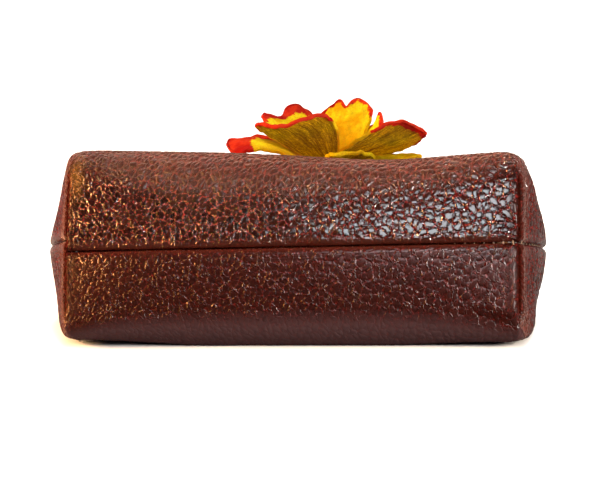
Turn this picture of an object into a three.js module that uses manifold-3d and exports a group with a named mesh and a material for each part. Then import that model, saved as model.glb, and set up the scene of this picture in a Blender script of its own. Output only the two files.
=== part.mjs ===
// Kiss lock coin purse of pebbled leather, lying on its back with a leather flower on its upper face.
// Millimetres, +Z up. The purse is drawn in its own axes: x across it, h up from its base to its metal
// mouth, and t out through its front. The last group leans it over until its back lies on Z = 0.
import * as THREE from "three";
import { mergeVertices } from "three/addons/utils/BufferGeometryUtils.js";
import Module from "manifold-3d";

const wasm = await Module();
wasm.setup();

// Lying pose
const LEAN = THREE.MathUtils.degToRad(12.1); // of the purse's middle plane to the surface it lies on
const BASE_MIDDLE_Z = 28.4; // height of the middle of the base above that surface

// Leather pouch
const LEATHER = 1.6;
const HALF_GAP = 0.15; // half of the gap between two pieces that touch
const SEAM_DEPTH = 1.2; // how far the leather is drawn in along a seam
const SEAM_SLANT = 1.25; // how far the base seam wanders off the middle at each end
const LEFT_SEAM_T = 2.1; // level of the side seams, which do not quite meet the base seam
const RIGHT_SEAM_T = 1.3;
const BACK_SQUARE = 1.5; // how much boxier the back's sections are than the front's
const BACK_SAG = 0.07; // how much fuller the back is than the front where it lies, as a share of its depth
const FRONT_LEAN = 0.05; // how far the front half leans to the right, for each millimetre out
const FOLD_RADIUS_MIDDLE = 11; // of the fold between base and face
const FOLD_RADIUS_CORNER = 3;
const BASE_BULGE = 3;
const SIDE_STEPS = 5;
const FRONT_STEPS = 20;
const OUTLINE_STEPS = 160;
const CORNER_CLOSENESS = 0.75; // how much closer the columns stand at the box corners than between them

// One row for each section up the pouch. sway: how far its middle lies to the right. square: how boxy its
// corners are. full: how steeply it leaves its edges.
const SECTIONS = [
  { h: 0, halfWidth: 64.2, depth: 27.9, sway: 0, square: 16, full: 0.06 },
  { h: 10, halfWidth: 67.6, depth: 28, sway: 0.4, square: 9, full: 0.11 },
  { h: 22, halfWidth: 72.6, depth: 27.2, sway: 1.2, square: 4, full: 0.21 },
  { h: 38, halfWidth: 75.8, depth: 24.6, sway: 2, square: 3, full: 0.34 },
  { h: 50, halfWidth: 71, depth: 21.4, sway: 1.2, square: 3, full: 0.48 },
  { h: 58, halfWidth: 61.4, depth: 18.8, sway: 0, square: 2.8, full: 0.62 },
  { h: 66, halfWidth: 61.6, depth: 16.2, sway: 0, square: 2.6, full: 0.9 },
  { h: 80, halfWidth: 61.6, depth: 11, sway: 0, square: 2.4, full: 1.2 },
  { h: 90, halfWidth: 61.6, depth: 6.6, sway: 0, square: 2.4, full: 1.3 },
  { h: 97, halfWidth: 61.6, depth: 3, sway: 0, square: 2.4, full: 1.3 },
  { h: 101, halfWidth: 61.6, depth: 3, sway: 0, square: 2.4, full: 1.3 },
];
const ROW_HEIGHTS = [0, 2.5, 6, 11, 19, 28, 38, 47, 53, 57, 61.5, 64.8, 74, 82, 90, 94, 97.3, 101];

// Shallow dents of the front face, one row each: where, how far they reach, how deep.
const FRONT_DENTS = [
  { x: 28, h: 14, reachX: 20, reachH: 16, depth: 2.2 },
  { x: 4, h: 14, reachX: 22, reachH: 14, depth: 1 },
  { x: 52, h: 10, reachX: 14, reachH: 14, depth: 0.5 },
];

// Metal mouth
const FRAME_HALF_WIDTH = 65;
const FRAME_TOP_H = 104;
const FRAME_BAND = 5.5; // seen from the front
const FRAME_CORNER = 24;
const FRAME_WALL = 0.8;
const FRAME_THICK = 3.9; // of one half
const FRAME_INNER_T = 0.25; // its inner face, off the middle plane
const ARM_END_H = 65.5;
const CHANNEL_END_H = 63; // the channel is open at the ends of the arms
const LEATHER_EDGE_T = 3; // outer face of the leather inside the channel
const FRAME_BEVEL = 0.5;
const ARC_STEPS = 6;

// Hinges of the mouth
const HINGE_H = 61;
const LUG_RADIUS = 3.6;
const LUG_THICK = 1.2;
const OUTER_LUG_X = 63.7; // inner face of the front half's lugs
const INNER_LUG_X = 62.2; // inner face of the back half's lugs
const RIVET_RADIUS = 1.2;
const RIVET_HOLE_RADIUS = 1.5;
const RIVET_HEAD_RADIUS = 2.5;
const RIVET_HEAD = 0.9;
const ROUND_STEPS = 12;

// Kiss lock balls
const BALL_RADIUS = 4.4;
const BALL_X = 4.55;
const BALL_H = 109.4;
const BALL_CROSSING_T = 0.8; // how far each ball leans over the other half
const NECK_RADIUS = 1.7;

// Flower
const FLOWER_X = 11.5;
const FLOWER_H = 35;
const PETAL_LEATHER = 1.1;
const LAYER_GAP = 0.5;
const BLOSSOM_GAP = 1.2; // between the two blossoms at their middle
const DISC_RADIUS = 5;
const STUD_RADIUS = 1.5;
const STUD_HOLE_RADIUS = 1.85;
const STUD_HEAD_RADIUS = 3.2;
const STUD_HEAD = 1.6;
const STUD_WASHER_RADIUS = 4;
const STUD_WASHER = 1;
const PETAL_LENGTH_STEPS = 7;
const PETAL_WIDTH_STEPS = 6;

// One row for each petal. azimuth: 0 points along x, 90 towards the mouth. rise: slope of its middle.
// curl: slope gained by its tip. cup: how far both long edges stand above its middle. roll: how far one edge
// stands above the other. ruffle and phase: the wave along its rim. notch: the dip in its rim.
// Degrees and millimetres.
const UPPER_PETALS = [
  {
    azimuth: 244, length: 35, width: 23, rise: 25, curl: -35,
    cup: -1.2, roll: 0.3, ruffle: 1.7, phase: -1.6, notch: 0,
  },
  {
    azimuth: 324, length: 33, width: 21, rise: 7, curl: 13,
    cup: -2.2, roll: 0, ruffle: 2.4, phase: 4.4, notch: 0,
  },
  {
    azimuth: 20, length: 24, width: 17, rise: 35, curl: 28,
    cup: 1.5, roll: 0.8, ruffle: 1.7, phase: 3.2, notch: 1.5,
  },
  {
    azimuth: 65, length: 30, width: 18, rise: 61, curl: 6,
    cup: 2, roll: 0, ruffle: 1, phase: 1.6, notch: 4,
  },
  {
    azimuth: 136, length: 31.5, width: 19.5, rise: 53, curl: -4,
    cup: -1.4, roll: -2, ruffle: 2.6, phase: 3.8, notch: 4,
  },
];
const LOWER_PETALS = [
  {
    azimuth: 162, length: 35, width: 17.5, rise: 41, curl: -50,
    cup: 1.1, roll: -5, ruffle: 1.6, phase: 1.6, notch: 0,
  },
  {
    azimuth: 303, length: 18, width: 17, rise: 2, curl: -3,
    cup: 0, roll: 0, ruffle: 0.4, phase: 1.5, notch: 0,
  },
  {
    azimuth: 348, length: 28, width: 18, rise: 11, curl: -14,
    cup: -0.5, roll: 2.8, ruffle: 0.5, phase: 3, notch: 0,
  },
  {
    azimuth: 50, length: 28, width: 21, rise: 9, curl: -8,
    cup: -1, roll: 0, ruffle: 1, phase: 4.2, notch: 0,
  },
  {
    azimuth: 117, length: 28, width: 21, rise: 9, curl: -8,
    cup: -1, roll: 0, ruffle: 1, phase: 5.4, notch: 0,
  },
];

const COLOURS = {
  pouch: { color: 0x4a2018, roughness: 0.42, metalness: 0 },
  upperPetals: { color: 0xd9a510, roughness: 0.75, metalness: 0 },
  lowerPetals: { color: 0xd39a12, roughness: 0.75, metalness: 0 },
  metal: { color: 0x8a6a3a, roughness: 0.35, metalness: 1 },
};

const piece = (name, geometry, look) => {
  const mesh = new THREE.Mesh(geometry, new THREE.MeshStandardMaterial(look));
  mesh.name = name;
  return mesh;
};

// Value of one column of a table at height h, on a smooth curve through its rows.
function column(table, key, h) {
  const last = table.length - 1;
  const at = Math.max(0, Math.min(last - 1, table.findLastIndex((row) => row.h <= h)));
  const slope = (i) => {
    const before = table[Math.max(0, i - 1)];
    const after = table[Math.min(last, i + 1)];
    return (after[key] - before[key]) / (after.h - before.h);
  };
  const [low, high] = [table[at], table[at + 1]];
  const span = high.h - low.h;
  const s = (h - low.h) / span;
  const [s2, s3] = [s * s, s * s * s];
  return (2 * s3 - 3 * s2 + 1) * low[key] + (s3 - 2 * s2 + s) * span * slope(at)
    + (3 * s2 - 2 * s3) * high[key] + (s3 - s2) * span * slope(at + 1);
}

const smoothStep = (from, to, value) => THREE.MathUtils.smoothstep(value, from, to);

// Half width of a rounded corner frame line that lies `inside` the frame's outer edge.
function frameHalfWidth(h, inside) {
  const radius = FRAME_CORNER - inside;
  const over = Math.max(0, h - (FRAME_TOP_H - FRAME_CORNER));
  const straight = FRAME_HALF_WIDTH - FRAME_CORNER;
  return straight + Math.sqrt(Math.max(0, radius * radius - over * over));
}

// How far the leather's edge lies inside the outer edge of the frame
const CHANNEL_FLOOR = FRAME_HALF_WIDTH - SECTIONS.at(-1).halfWidth;
const edgeHalfWidth = (h) =>
  h < ARM_END_H ? column(SECTIONS, "halfWidth", h) : frameHalfWidth(h, CHANNEL_FLOOR);
const lipHalfWidth = (h) => {
  const lip = Math.min(edgeHalfWidth(h), frameHalfWidth(h, FRAME_BAND + 0.3));
  return THREE.MathUtils.lerp(edgeHalfWidth(h), lip, smoothStep(57, 64.8, h));
};
const edgeDepth = (h) => THREE.MathUtils.lerp(HALF_GAP, LEATHER_EDGE_T, smoothStep(57, 64.8, h));

// Half section at height h as [x, t] points from the left edge over the face to the right edge.
function sectionOutline(h, isFront = true) {
  const lip = lipHalfWidth(h);
  const edge = edgeDepth(h);
  const depth = Math.max(edge, column(SECTIONS, "depth", h));
  const square = column(SECTIONS, "square", h) * (isFront ? 1 : BACK_SQUARE);
  const full = column(SECTIONS, "full", h);
  const sway = column(SECTIONS, "sway", h);
  const points = [[sway - edgeHalfWidth(h), edge]];
  for (let i = 0; i <= OUTLINE_STEPS; i++) {
    const turn = Math.PI * (1 - i / OUTLINE_STEPS);
    const [across, out] = [Math.cos(turn), Math.abs(Math.sin(turn))];
    const x = sway + lip * Math.sign(across) * Math.abs(across) ** (2 / square);
    points.push([x, edge + (depth - edge) * out ** (2 * full)]);
  }
  points.push([sway + edgeHalfWidth(h), edge]);
  return points;
}

const lengthsAlong = (points) => {
  const lengths = [0];
  for (let i = 1; i < points.length; i++) {
    const [dx, dt] = [0, 1].map((k) => points[i][k] - points[i - 1][k]);
    lengths.push(lengths[i - 1] + Math.hypot(dx, dt));
  }
  return lengths;
};

// Points at the given shares of an outline's length.
function pointsAtShares(points, shares) {
  const lengths = lengthsAlong(points);
  return shares.map((share) => {
    const wanted = share * lengths.at(-1);
    const after = Math.max(1, lengths.findIndex((length) => length >= wanted - 1e-9));
    const part = (wanted - lengths[after - 1]) / Math.max(1e-9, lengths[after] - lengths[after - 1]);
    return [0, 1].map((k) => THREE.MathUtils.lerp(points[after - 1][k], points[after][k], part));
  });
}

// Share of the base outline that lies between a side seam and the box corner.
const baseOutline = sectionOutline(0);
const baseLengths = lengthsAlong(baseOutline);
const CORNER_SHARE = baseLengths[1 + OUTLINE_STEPS / 4] / baseLengths.at(-1);
const sideShare = (i) => CORNER_SHARE * (1 - (1 - i / SIDE_STEPS) ** 1.5);
const frontShare = (i) => {
  const along = i / FRONT_STEPS;
  const closer = along - (CORNER_CLOSENESS * Math.sin(2 * Math.PI * along)) / (2 * Math.PI);
  return CORNER_SHARE + (1 - 2 * CORNER_SHARE) * closer;
};
const COLUMN_SHARES = [
  ...Array.from({ length: SIDE_STEPS }, (_, i) => sideShare(i)),
  ...Array.from({ length: FRONT_STEPS }, (_, i) => frontShare(i)),
  ...Array.from({ length: SIDE_STEPS + 1 }, (_, i) => 1 - sideShare(SIDE_STEPS - i)),
];
const CORNER_X = pointsAtShares(baseOutline, [1 - CORNER_SHARE])[0][0];

// Shares of a section's columns. Up in the mouth the second column moves to where the leather leaves
// the channel.
function columnShares(h, outline) {
  const lengths = lengthsAlong(outline);
  const second = COLUMN_SHARES[1];
  const lip = THREE.MathUtils.lerp(second, lengths[1] / lengths.at(-1), smoothStep(57, 64.8, h));
  return COLUMN_SHARES.map((share, c) => {
    if (c === 0 || c === COLUMN_SHARES.length - 1) return share;
    return lip + ((share - second) * (1 - 2 * lip)) / (1 - 2 * second);
  });
}

// How far the fold over the edge of the base lowers the face at height h.
function foldDrop(x, h) {
  const outward = Math.min(1, Math.abs(x) / CORNER_X);
  const radius = THREE.MathUtils.lerp(FOLD_RADIUS_MIDDLE, FOLD_RADIUS_CORNER, outward ** 4);
  return h >= radius ? 0 : radius - Math.sqrt(radius * radius - (radius - h) ** 2);
}

const dentDepth = (x, h) => FRONT_DENTS.reduce((sum, dent) => sum
  + dent.depth * Math.exp(-(((x - dent.x) / dent.reachX) ** 2) - ((h - dent.h) / dent.reachH) ** 2), 0);

// Seams wander off the middle plane: this shifts a point near them, and leaves the face alone.
function seamShift(x, h, t, depth) {
  const along = Math.max(-1, Math.min(1, x / CORNER_X));
  const side = THREE.MathUtils.lerp(LEFT_SEAM_T, RIGHT_SEAM_T, (along + 1) / 2);
  const shift = THREE.MathUtils.lerp(SEAM_SLANT * along, side, smoothStep(0, 8, h));
  return shift * (1 - smoothStep(20, 55, h)) * Math.max(0, 1 - t / depth);
}

// How far the front half leans to the right at x and h, for each millimetre out. The right end of the base
// stays.
function frontLean(x, h) {
  const held = THREE.MathUtils.lerp(1, smoothStep(0, 12, h), smoothStep(-CORNER_X, CORNER_X, x));
  return FRONT_LEAN * held * (1 - smoothStep(35, 58, h));
}

// How much fuller the back is than the front: it sags where it lies, and its box corners stand clear.
function backFullness(x, h) {
  const outward = Math.min(1, Math.abs(x) / CORNER_X);
  const cornerHold = 0.8 * outward ** 6 * (1 - smoothStep(0, 30, h));
  return 1 + BACK_SAG * (1 - smoothStep(20, 60, h)) * (1 - cornerHold);
}

// Lowest t that a point of the lying purse may have, at the surface that it lies on.
const floorDepth = (h) => (h * Math.sin(LEAN) - BASE_MIDDLE_Z) / Math.cos(LEAN);

// A wall grown inwards from its outer points. Quads turn anticlockwise seen from outside. share: the part of
// the thickness that lies outside the given points. inward(i, normal) may correct the way a point's inner
// twin lies.
function wall(points, quads, thickness, share = 0, inward = (i, normal) => normal) {
  const triangles = quads.flatMap(([a, b, c, d]) => [[a, b, c], [a, c, d]]);
  const normals = points.map(() => new THREE.Vector3());
  const edges = new Map();
  for (const [a, b, c] of triangles) {
    const face = new THREE.Triangle(points[a], points[b], points[c]);
    const normal = face.getNormal(new THREE.Vector3()).multiplyScalar(face.getArea());
    [a, b, c].forEach((i) => normals[i].add(normal));
    [[a, b], [b, c], [c, a]].forEach(([from, to]) => edges.set(`${from},${to}`, [from, to]));
  }
  const rim = [...edges.values()].filter(([from, to]) => !edges.has(`${to},${from}`));
  normals.forEach((normal, i) => inward(i, normal.normalize()).normalize());
  const place = (offset) => points.map((p, i) => p.clone().addScaledVector(normals[i], offset));
  const both = [...place(thickness * share), ...place(thickness * (share - 1))];
  const positions = both.flatMap((p) => p.toArray());
  const inner = points.length;
  const index = [
    ...triangles.flat(),
    ...triangles.flatMap(([a, b, c]) => [a + inner, c + inner, b + inner]),
    ...rim.flatMap(([from, to]) => [from, from + inner, to, to, from + inner, to + inner]),
  ];
  const geometry = new THREE.BufferGeometry();
  geometry.setAttribute("position", new THREE.Float32BufferAttribute(positions, 3));
  return geometry.setIndex(index);
}

function solidOf(geometry) {
  const bare = geometry.clone();
  bare.deleteAttribute("normal");
  bare.deleteAttribute("uv");
  const merged = mergeVertices(bare, 1e-4);
  return new wasm.Manifold(new wasm.Mesh({
    numProp: 3,
    vertProperties: merged.attributes.position.array,
    triVerts: new Uint32Array(merged.index.array),
  }));
}

function geometryOf(solid) {
  const mesh = solid.getMesh();
  const geometry = new THREE.BufferGeometry();
  geometry.setAttribute("position", new THREE.BufferAttribute(mesh.vertProperties, 3));
  return geometry.setIndex(new THREE.BufferAttribute(mesh.triVerts, 1));
}

// Half of the pouch: a face and its two sides, and the half of the base below them, boxed at the corners.
function panelGeometry(isFront) {
  const points = [];
  const seamPoints = new Set();
  const add = (x, h, t, onSeam) => {
    const depth = column(SECTIONS, "depth", h);
    const dented = isFront ? t - dentDepth(x, h) * smoothStep(0.5, 1, t / depth) : t;
    const shifted = (isFront ? dented : -dented * backFullness(x, h)) + seamShift(x, h, t, depth);
    if (onSeam) seamPoints.add(points.length);
    const leaned = isFront ? x + frontLean(x, h) * t : x;
    const resting = isFront ? shifted : Math.max(shifted, floorDepth(h));
    return points.push(new THREE.Vector3(leaned, h, resting)) - 1;
  };

  const columns = COLUMN_SHARES.length - 1;
  const cornerColumns = [SIDE_STEPS, columns - SIDE_STEPS];
  const grid = ROW_HEIGHTS.map((h, row) => {
    const outline = sectionOutline(h, isFront);
    return pointsAtShares(outline, columnShares(h, outline)).map(([x, t], c) => {
      const onSide = c <= cornerColumns[0] || c >= cornerColumns[1];
      const onCornerSeam = row === 0 && onSide;
      const onSideSeam = (c === 0 || c === columns) && h <= HINGE_H;
      const drawnIn = onCornerSeam || onSideSeam ? SEAM_DEPTH : 0;
      const folded = t * (1 - foldDrop(x, h) / column(SECTIONS, "depth", h));
      return add(x - Math.sign(x) * drawnIn, h + (onCornerSeam ? SEAM_DEPTH : 0), folded, onSideSeam);
    });
  });

  const baseRows = [grid[0].slice(cornerColumns[0], cornerColumns[1] + 1)];
  for (let row = 1; row <= SIDE_STEPS; row++) {
    const down = 1 - sideShare(SIDE_STEPS - row) / CORNER_SHARE;
    const [left, right] = [grid[0][cornerColumns[0] - row], grid[0][cornerColumns[1] + row]];
    const spread = points[right].x / points[baseRows[0].at(-1)].x;
    baseRows.push(baseRows[0].map((top, i) => {
      if (i === 0) return left;
      if (i === FRONT_STEPS) return right;
      const { x, z } = points[top];
      const outward = Math.abs(x) / CORNER_X;
      const bulge = BASE_BULGE * Math.sin(Math.PI * down) ** 1.5 * (1 - outward ** 6);
      const seam = row === SIDE_STEPS;
      const level = THREE.MathUtils.lerp(Math.abs(z), HALF_GAP, down);
      return add(x * spread, seam ? SEAM_DEPTH : -bulge, level, seam);
    }));
  }

  const quads = [];
  const addQuads = (rows, turn) => {
    for (let r = 0; r + 1 < rows.length; r++)
      for (let c = 0; c + 1 < rows[r].length; c++) {
        const quad = [rows[r][c], rows[r][c + 1], rows[r + 1][c + 1], rows[r + 1][c]];
        quads.push(turn ? quad.reverse() : quad);
      }
  };
  addQuads(grid, !isFront);
  addQuads(baseRows, isFront);
  return wall(points, quads, LEATHER, 0, (i, normal) => (seamPoints.has(i) ? normal.setZ(0) : normal));
}

// Closed outline of a band that runs up the left arm of the mouth, over its top and down the right arm.
function bandShape(outside, inside, endH) {
  const straightTop = FRAME_TOP_H - FRAME_CORNER;
  const straightX = FRAME_HALF_WIDTH - FRAME_CORNER;
  const shape = new THREE.Shape();
  const arch = (depth, sense) => {
    const radius = FRAME_CORNER - depth;
    const halfWidth = FRAME_HALF_WIDTH - depth;
    shape.lineTo(-sense * halfWidth, straightTop);
    shape.absarc(-sense * straightX, straightTop, radius, sense > 0 ? Math.PI : 0, Math.PI / 2, sense > 0);
    shape.absarc(sense * straightX, straightTop, radius, Math.PI / 2, sense > 0 ? 0 : Math.PI, sense > 0);
    shape.lineTo(sense * halfWidth, endH);
  };
  shape.moveTo(-(FRAME_HALF_WIDTH - outside), endH);
  arch(outside, 1);
  shape.lineTo(FRAME_HALF_WIDTH - inside, endH);
  arch(inside, -1);
  return shape;
}

// Flat shape drawn in h (across) and t (up), stood at x and thickened along x.
function plateAcross(shape, x, thick) {
  const geometry = new THREE.ExtrudeGeometry(shape, {
    depth: thick,
    bevelEnabled: false,
    curveSegments: ARC_STEPS,
  });
  const turned = new THREE.Matrix4().makeBasis(
    new THREE.Vector3(0, 1, 0), new THREE.Vector3(0, 0, 1), new THREE.Vector3(1, 0, 0));
  return geometry.applyMatrix4(turned).translate(x, 0, 0);
}

// Round bar along x.
const barAlongX = (radius, fromX, toX) =>
  new THREE.CylinderGeometry(radius, radius, toX - fromX, ROUND_STEPS)
    .rotateZ(Math.PI / 2).translate((fromX + toX) / 2, HINGE_H, 0);

// Hinge lug of the front half: an eye round the rivet that runs up into the end of the arm.
function lugShape() {
  const [low, high] = [FRAME_INNER_T + 0.3, FRAME_INNER_T + FRAME_THICK - 0.3];
  const reach = Math.asin(high > LUG_RADIUS ? 1 : high / LUG_RADIUS);
  const shape = new THREE.Shape();
  shape.absarc(HINGE_H, 0, LUG_RADIUS, reach, -Math.PI / 3, false);
  shape.lineTo(ARM_END_H - 1, low);
  shape.lineTo(ARM_END_H + 1, low);
  shape.lineTo(ARM_END_H + 1, high);
  shape.lineTo(HINGE_H, high);
  return shape;
}

// One half of the mouth, drawn as the front half: a channel, two hinge lugs and a ball on its neck.
function mouthHalf(lugX, ballSide) {
  const bandOutline = bandShape(FRAME_BEVEL, FRAME_BAND - FRAME_BEVEL, ARM_END_H);
  const band = new THREE.ExtrudeGeometry(bandOutline, {
    depth: FRAME_THICK - 2 * FRAME_BEVEL,
    bevelThickness: FRAME_BEVEL,
    bevelSize: FRAME_BEVEL,
    bevelSegments: 1,
    curveSegments: ARC_STEPS,
  }).translate(0, 0, FRAME_INNER_T + FRAME_BEVEL);
  const channelOutline = bandShape(FRAME_WALL, FRAME_BAND + 1, CHANNEL_END_H);
  const channel = new THREE.ExtrudeGeometry(channelOutline, {
    depth: FRAME_THICK - 2 * FRAME_WALL,
    bevelEnabled: false,
    curveSegments: ARC_STEPS,
  }).translate(0, 0, FRAME_INNER_T + FRAME_WALL);
  let half = solidOf(band).subtract(solidOf(channel));
  for (const x of [lugX, -lugX - LUG_THICK])
    half = half.add(solidOf(plateAcross(lugShape(), x, LUG_THICK)));
  const reach = FRAME_HALF_WIDTH + RIVET_HEAD_RADIUS;
  half = half.subtract(solidOf(barAlongX(RIVET_HOLE_RADIUS, INNER_LUG_X - 1, reach)))
    .subtract(solidOf(barAlongX(RIVET_HOLE_RADIUS, -reach, 1 - INNER_LUG_X)));

  const bandMiddleT = FRAME_INNER_T + FRAME_THICK / 2;
  const foot = new THREE.Vector3(ballSide * BALL_X, FRAME_TOP_H - FRAME_WALL / 2, bandMiddleT);
  const centre = new THREE.Vector3(ballSide * BALL_X, BALL_H, -BALL_CROSSING_T);
  const along = centre.clone().sub(foot);
  const neck = new THREE.CylinderGeometry(NECK_RADIUS, NECK_RADIUS, along.length(), ROUND_STEPS)
    .applyQuaternion(new THREE.Quaternion().setFromUnitVectors(
      new THREE.Vector3(0, 1, 0), along.clone().normalize()))
    .translate(...foot.clone().add(centre).multiplyScalar(0.5));
  const ball = new THREE.SphereGeometry(BALL_RADIUS, ROUND_STEPS, ROUND_STEPS - 4).translate(...centre);
  return half.add(solidOf(neck)).add(solidOf(ball));
}

function frameHalfGeometry(isFront) {
  const geometry = geometryOf(mouthHalf(isFront ? OUTER_LUG_X : INNER_LUG_X, -1));
  return isFront ? geometry : geometry.rotateY(Math.PI);
}

// Rivet from the inner lug outwards, with a domed head outside.
function rivetGeometry(side) {
  const headStart = OUTER_LUG_X + LUG_THICK + 2 * HALF_GAP;
  const profile = [
    [0, INNER_LUG_X],
    [RIVET_RADIUS, INNER_LUG_X],
    [RIVET_RADIUS, headStart],
    [RIVET_HEAD_RADIUS, headStart],
    [RIVET_HEAD_RADIUS * 0.8, headStart + RIVET_HEAD * 0.65],
    [0, headStart + RIVET_HEAD],
  ].map(([r, along]) => new THREE.Vector2(r, along));
  return new THREE.LatheGeometry(profile, ROUND_STEPS)
    .rotateZ((-side * Math.PI) / 2)
    .translate(0, HINGE_H, 0);
}

// One petal that starts at the flower's middle, as a thin curved wall.
function petalGeometry({ azimuth, length, width, rise, curl, cup, roll, ruffle, phase, notch }) {
  const points = [];
  const rows = [];
  const direction = THREE.MathUtils.degToRad(azimuth);
  let [out, up] = [0, 0];
  for (let i = 0; i <= PETAL_LENGTH_STEPS; i++) {
    const s = i / PETAL_LENGTH_STEPS;
    const slope = THREE.MathUtils.degToRad(rise + curl * s * s) * smoothStep(0.12, 0.34, s);
    if (i > 0) {
      out += (length / PETAL_LENGTH_STEPS) * Math.cos(slope);
      up += (length / PETAL_LENGTH_STEPS) * Math.sin(slope);
    }
    const broad = (width / 2) * Math.sin(Math.PI * (0.07 + 0.48 * s));
    const row = [];
    for (let k = 0; k <= PETAL_WIDTH_STEPS; k++) {
      const across = (2 * k) / PETAL_WIDTH_STEPS - 1;
      const dip = notch * s ** 4 * Math.exp(-((across / 0.2) ** 2));
      const tipRound = 0.2 * length * across * across * s * s + dip;
      const wave = ruffle * s * s * Math.sin(3 * across + phase);
      const lift = (cup * across * across + roll * across) * s ** 1.5 + wave;
      const radial = out - tipRound * Math.cos(slope) - lift * Math.sin(slope);
      const height = up - tipRound * Math.sin(slope) + lift * Math.cos(slope);
      const sideways = broad * across;
      row.push(points.push(new THREE.Vector3(
        radial * Math.cos(direction) - sideways * Math.sin(direction),
        radial * Math.sin(direction) + sideways * Math.cos(direction),
        height)) - 1);
    }
    rows.push(row);
  }
  const quads = [];
  for (let i = 0; i < PETAL_LENGTH_STEPS; i++)
    for (let k = 0; k < PETAL_WIDTH_STEPS; k++)
      quads.push([rows[i][k], rows[i + 1][k], rows[i + 1][k + 1], rows[i][k + 1]]);
  return wall(points, quads, PETAL_LEATHER, 0.5);
}

const uprightCylinder = (radius, low, high) =>
  new THREE.CylinderGeometry(radius, radius, high - low, ROUND_STEPS)
    .rotateX(Math.PI / 2).translate(0, 0, (low + high) / 2);

// Five petals cut from one piece of leather, joined at a disc with a hole for the stud.
function blossomGeometry(petals) {
  const half = PETAL_LEATHER / 2;
  const disc = solidOf(uprightCylinder(DISC_RADIUS, -half, half));
  const joined = petals.reduce((solid, petal) => solid.add(solidOf(petalGeometry(petal))), disc);
  return geometryOf(joined.subtract(solidOf(uprightCylinder(STUD_HOLE_RADIUS, -10, 20))));
}

// Stud through both blossoms and the front panel: domed head outside, flat head inside.
function studGeometry(headLow, washerHigh) {
  const profile = [
    [0, washerHigh - STUD_WASHER],
    [STUD_WASHER_RADIUS, washerHigh - STUD_WASHER],
    [STUD_WASHER_RADIUS, washerHigh],
    [STUD_RADIUS, washerHigh],
    [STUD_RADIUS, headLow],
    [STUD_HEAD_RADIUS, headLow],
    [STUD_HEAD_RADIUS * 0.8, headLow + STUD_HEAD * 0.65],
    [0, headLow + STUD_HEAD],
  ].map(([r, along]) => new THREE.Vector2(r, along));
  return new THREE.LatheGeometry(profile, ROUND_STEPS).rotateX(Math.PI / 2);
}

// Height of the front face where the flower sits, and its slope there.
function faceDepth(x, h) {
  const outline = sectionOutline(h);
  const after = outline.findIndex((point) => point[0] >= x);
  const [low, high] = [outline[after - 1], outline[after]];
  const t = THREE.MathUtils.mapLinear(x, low[0], high[0], low[1], high[1]);
  return t - dentDepth(x, h);
}

const flower = new THREE.Group();
const seat = faceDepth(FLOWER_X, FLOWER_H);
flower.position.set(FLOWER_X, FLOWER_H, seat);
flower.rotation.x = Math.atan((faceDepth(FLOWER_X, FLOWER_H + 2) - faceDepth(FLOWER_X, FLOWER_H - 2)) / 4);
const lowerLift = LAYER_GAP + PETAL_LEATHER / 2;
const upperLift = lowerLift + BLOSSOM_GAP + PETAL_LEATHER;
const lowerBlossom = piece("blossom_lower", blossomGeometry(LOWER_PETALS), COLOURS.lowerPetals);
lowerBlossom.position.z = lowerLift;
const upperBlossom = piece("blossom_upper", blossomGeometry(UPPER_PETALS), COLOURS.upperPetals);
upperBlossom.position.z = upperLift;
const headLow = upperLift + PETAL_LEATHER / 2 + LAYER_GAP;
const stud = piece("flower_stud", studGeometry(headLow, -LEATHER - LAYER_GAP), COLOURS.metal);
flower.add(lowerBlossom, upperBlossom, stud);
flower.updateMatrix();

const studHole = uprightCylinder(STUD_HOLE_RADIUS, -6, 6).applyMatrix4(flower.matrix);
const frontPanel = geometryOf(solidOf(panelGeometry(true)).subtract(solidOf(studHole)));

const purse = new THREE.Group();
purse.add(
  piece("front_panel", frontPanel, COLOURS.pouch),
  piece("back_panel", panelGeometry(false), COLOURS.pouch),
  piece("frame_front", frameHalfGeometry(true), COLOURS.metal),
  piece("frame_back", frameHalfGeometry(false), COLOURS.metal),
  piece("hinge_rivet_left", rivetGeometry(-1), COLOURS.metal),
  piece("hinge_rivet_right", rivetGeometry(1), COLOURS.metal),
  flower,
);
purse.rotation.x = -LEAN;
const footprint = new THREE.Box3().setFromObject(purse, true).getCenter(new THREE.Vector3());
purse.position.set(-footprint.x, -footprint.y, BASE_MIDDLE_Z);

const coinPurse = new THREE.Group();
coinPurse.add(purse);
export default coinPurse;
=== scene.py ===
"""Kiss lock coin purse of pebbled leather, lying on its back with a leather flower on its upper face."""

import math

import bpy
import numpy as np
from mathutils import Matrix, Vector


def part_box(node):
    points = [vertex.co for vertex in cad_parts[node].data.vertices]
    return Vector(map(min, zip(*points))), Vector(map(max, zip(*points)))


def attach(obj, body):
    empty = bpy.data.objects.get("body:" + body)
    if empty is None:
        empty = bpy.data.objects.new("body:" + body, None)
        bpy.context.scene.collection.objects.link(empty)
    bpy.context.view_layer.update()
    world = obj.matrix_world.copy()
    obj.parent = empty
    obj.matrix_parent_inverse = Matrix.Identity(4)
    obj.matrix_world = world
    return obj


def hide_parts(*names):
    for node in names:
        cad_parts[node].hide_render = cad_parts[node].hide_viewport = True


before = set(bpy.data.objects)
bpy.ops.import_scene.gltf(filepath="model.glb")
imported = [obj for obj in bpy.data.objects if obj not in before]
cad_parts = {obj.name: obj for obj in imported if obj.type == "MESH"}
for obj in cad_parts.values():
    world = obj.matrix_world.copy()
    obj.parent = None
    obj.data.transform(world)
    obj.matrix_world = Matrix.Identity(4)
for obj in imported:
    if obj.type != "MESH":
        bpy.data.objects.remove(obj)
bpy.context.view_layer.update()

# The purse is drawn in its own axes, in millimetres: x across it, h up from its base to its metal mouth,
# and t out through its front. place() leans it over until its back lies on the floor, in metres.
MM = 0.001
LEAN = math.radians(12.1)
HINGE_H = 61.0
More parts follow.
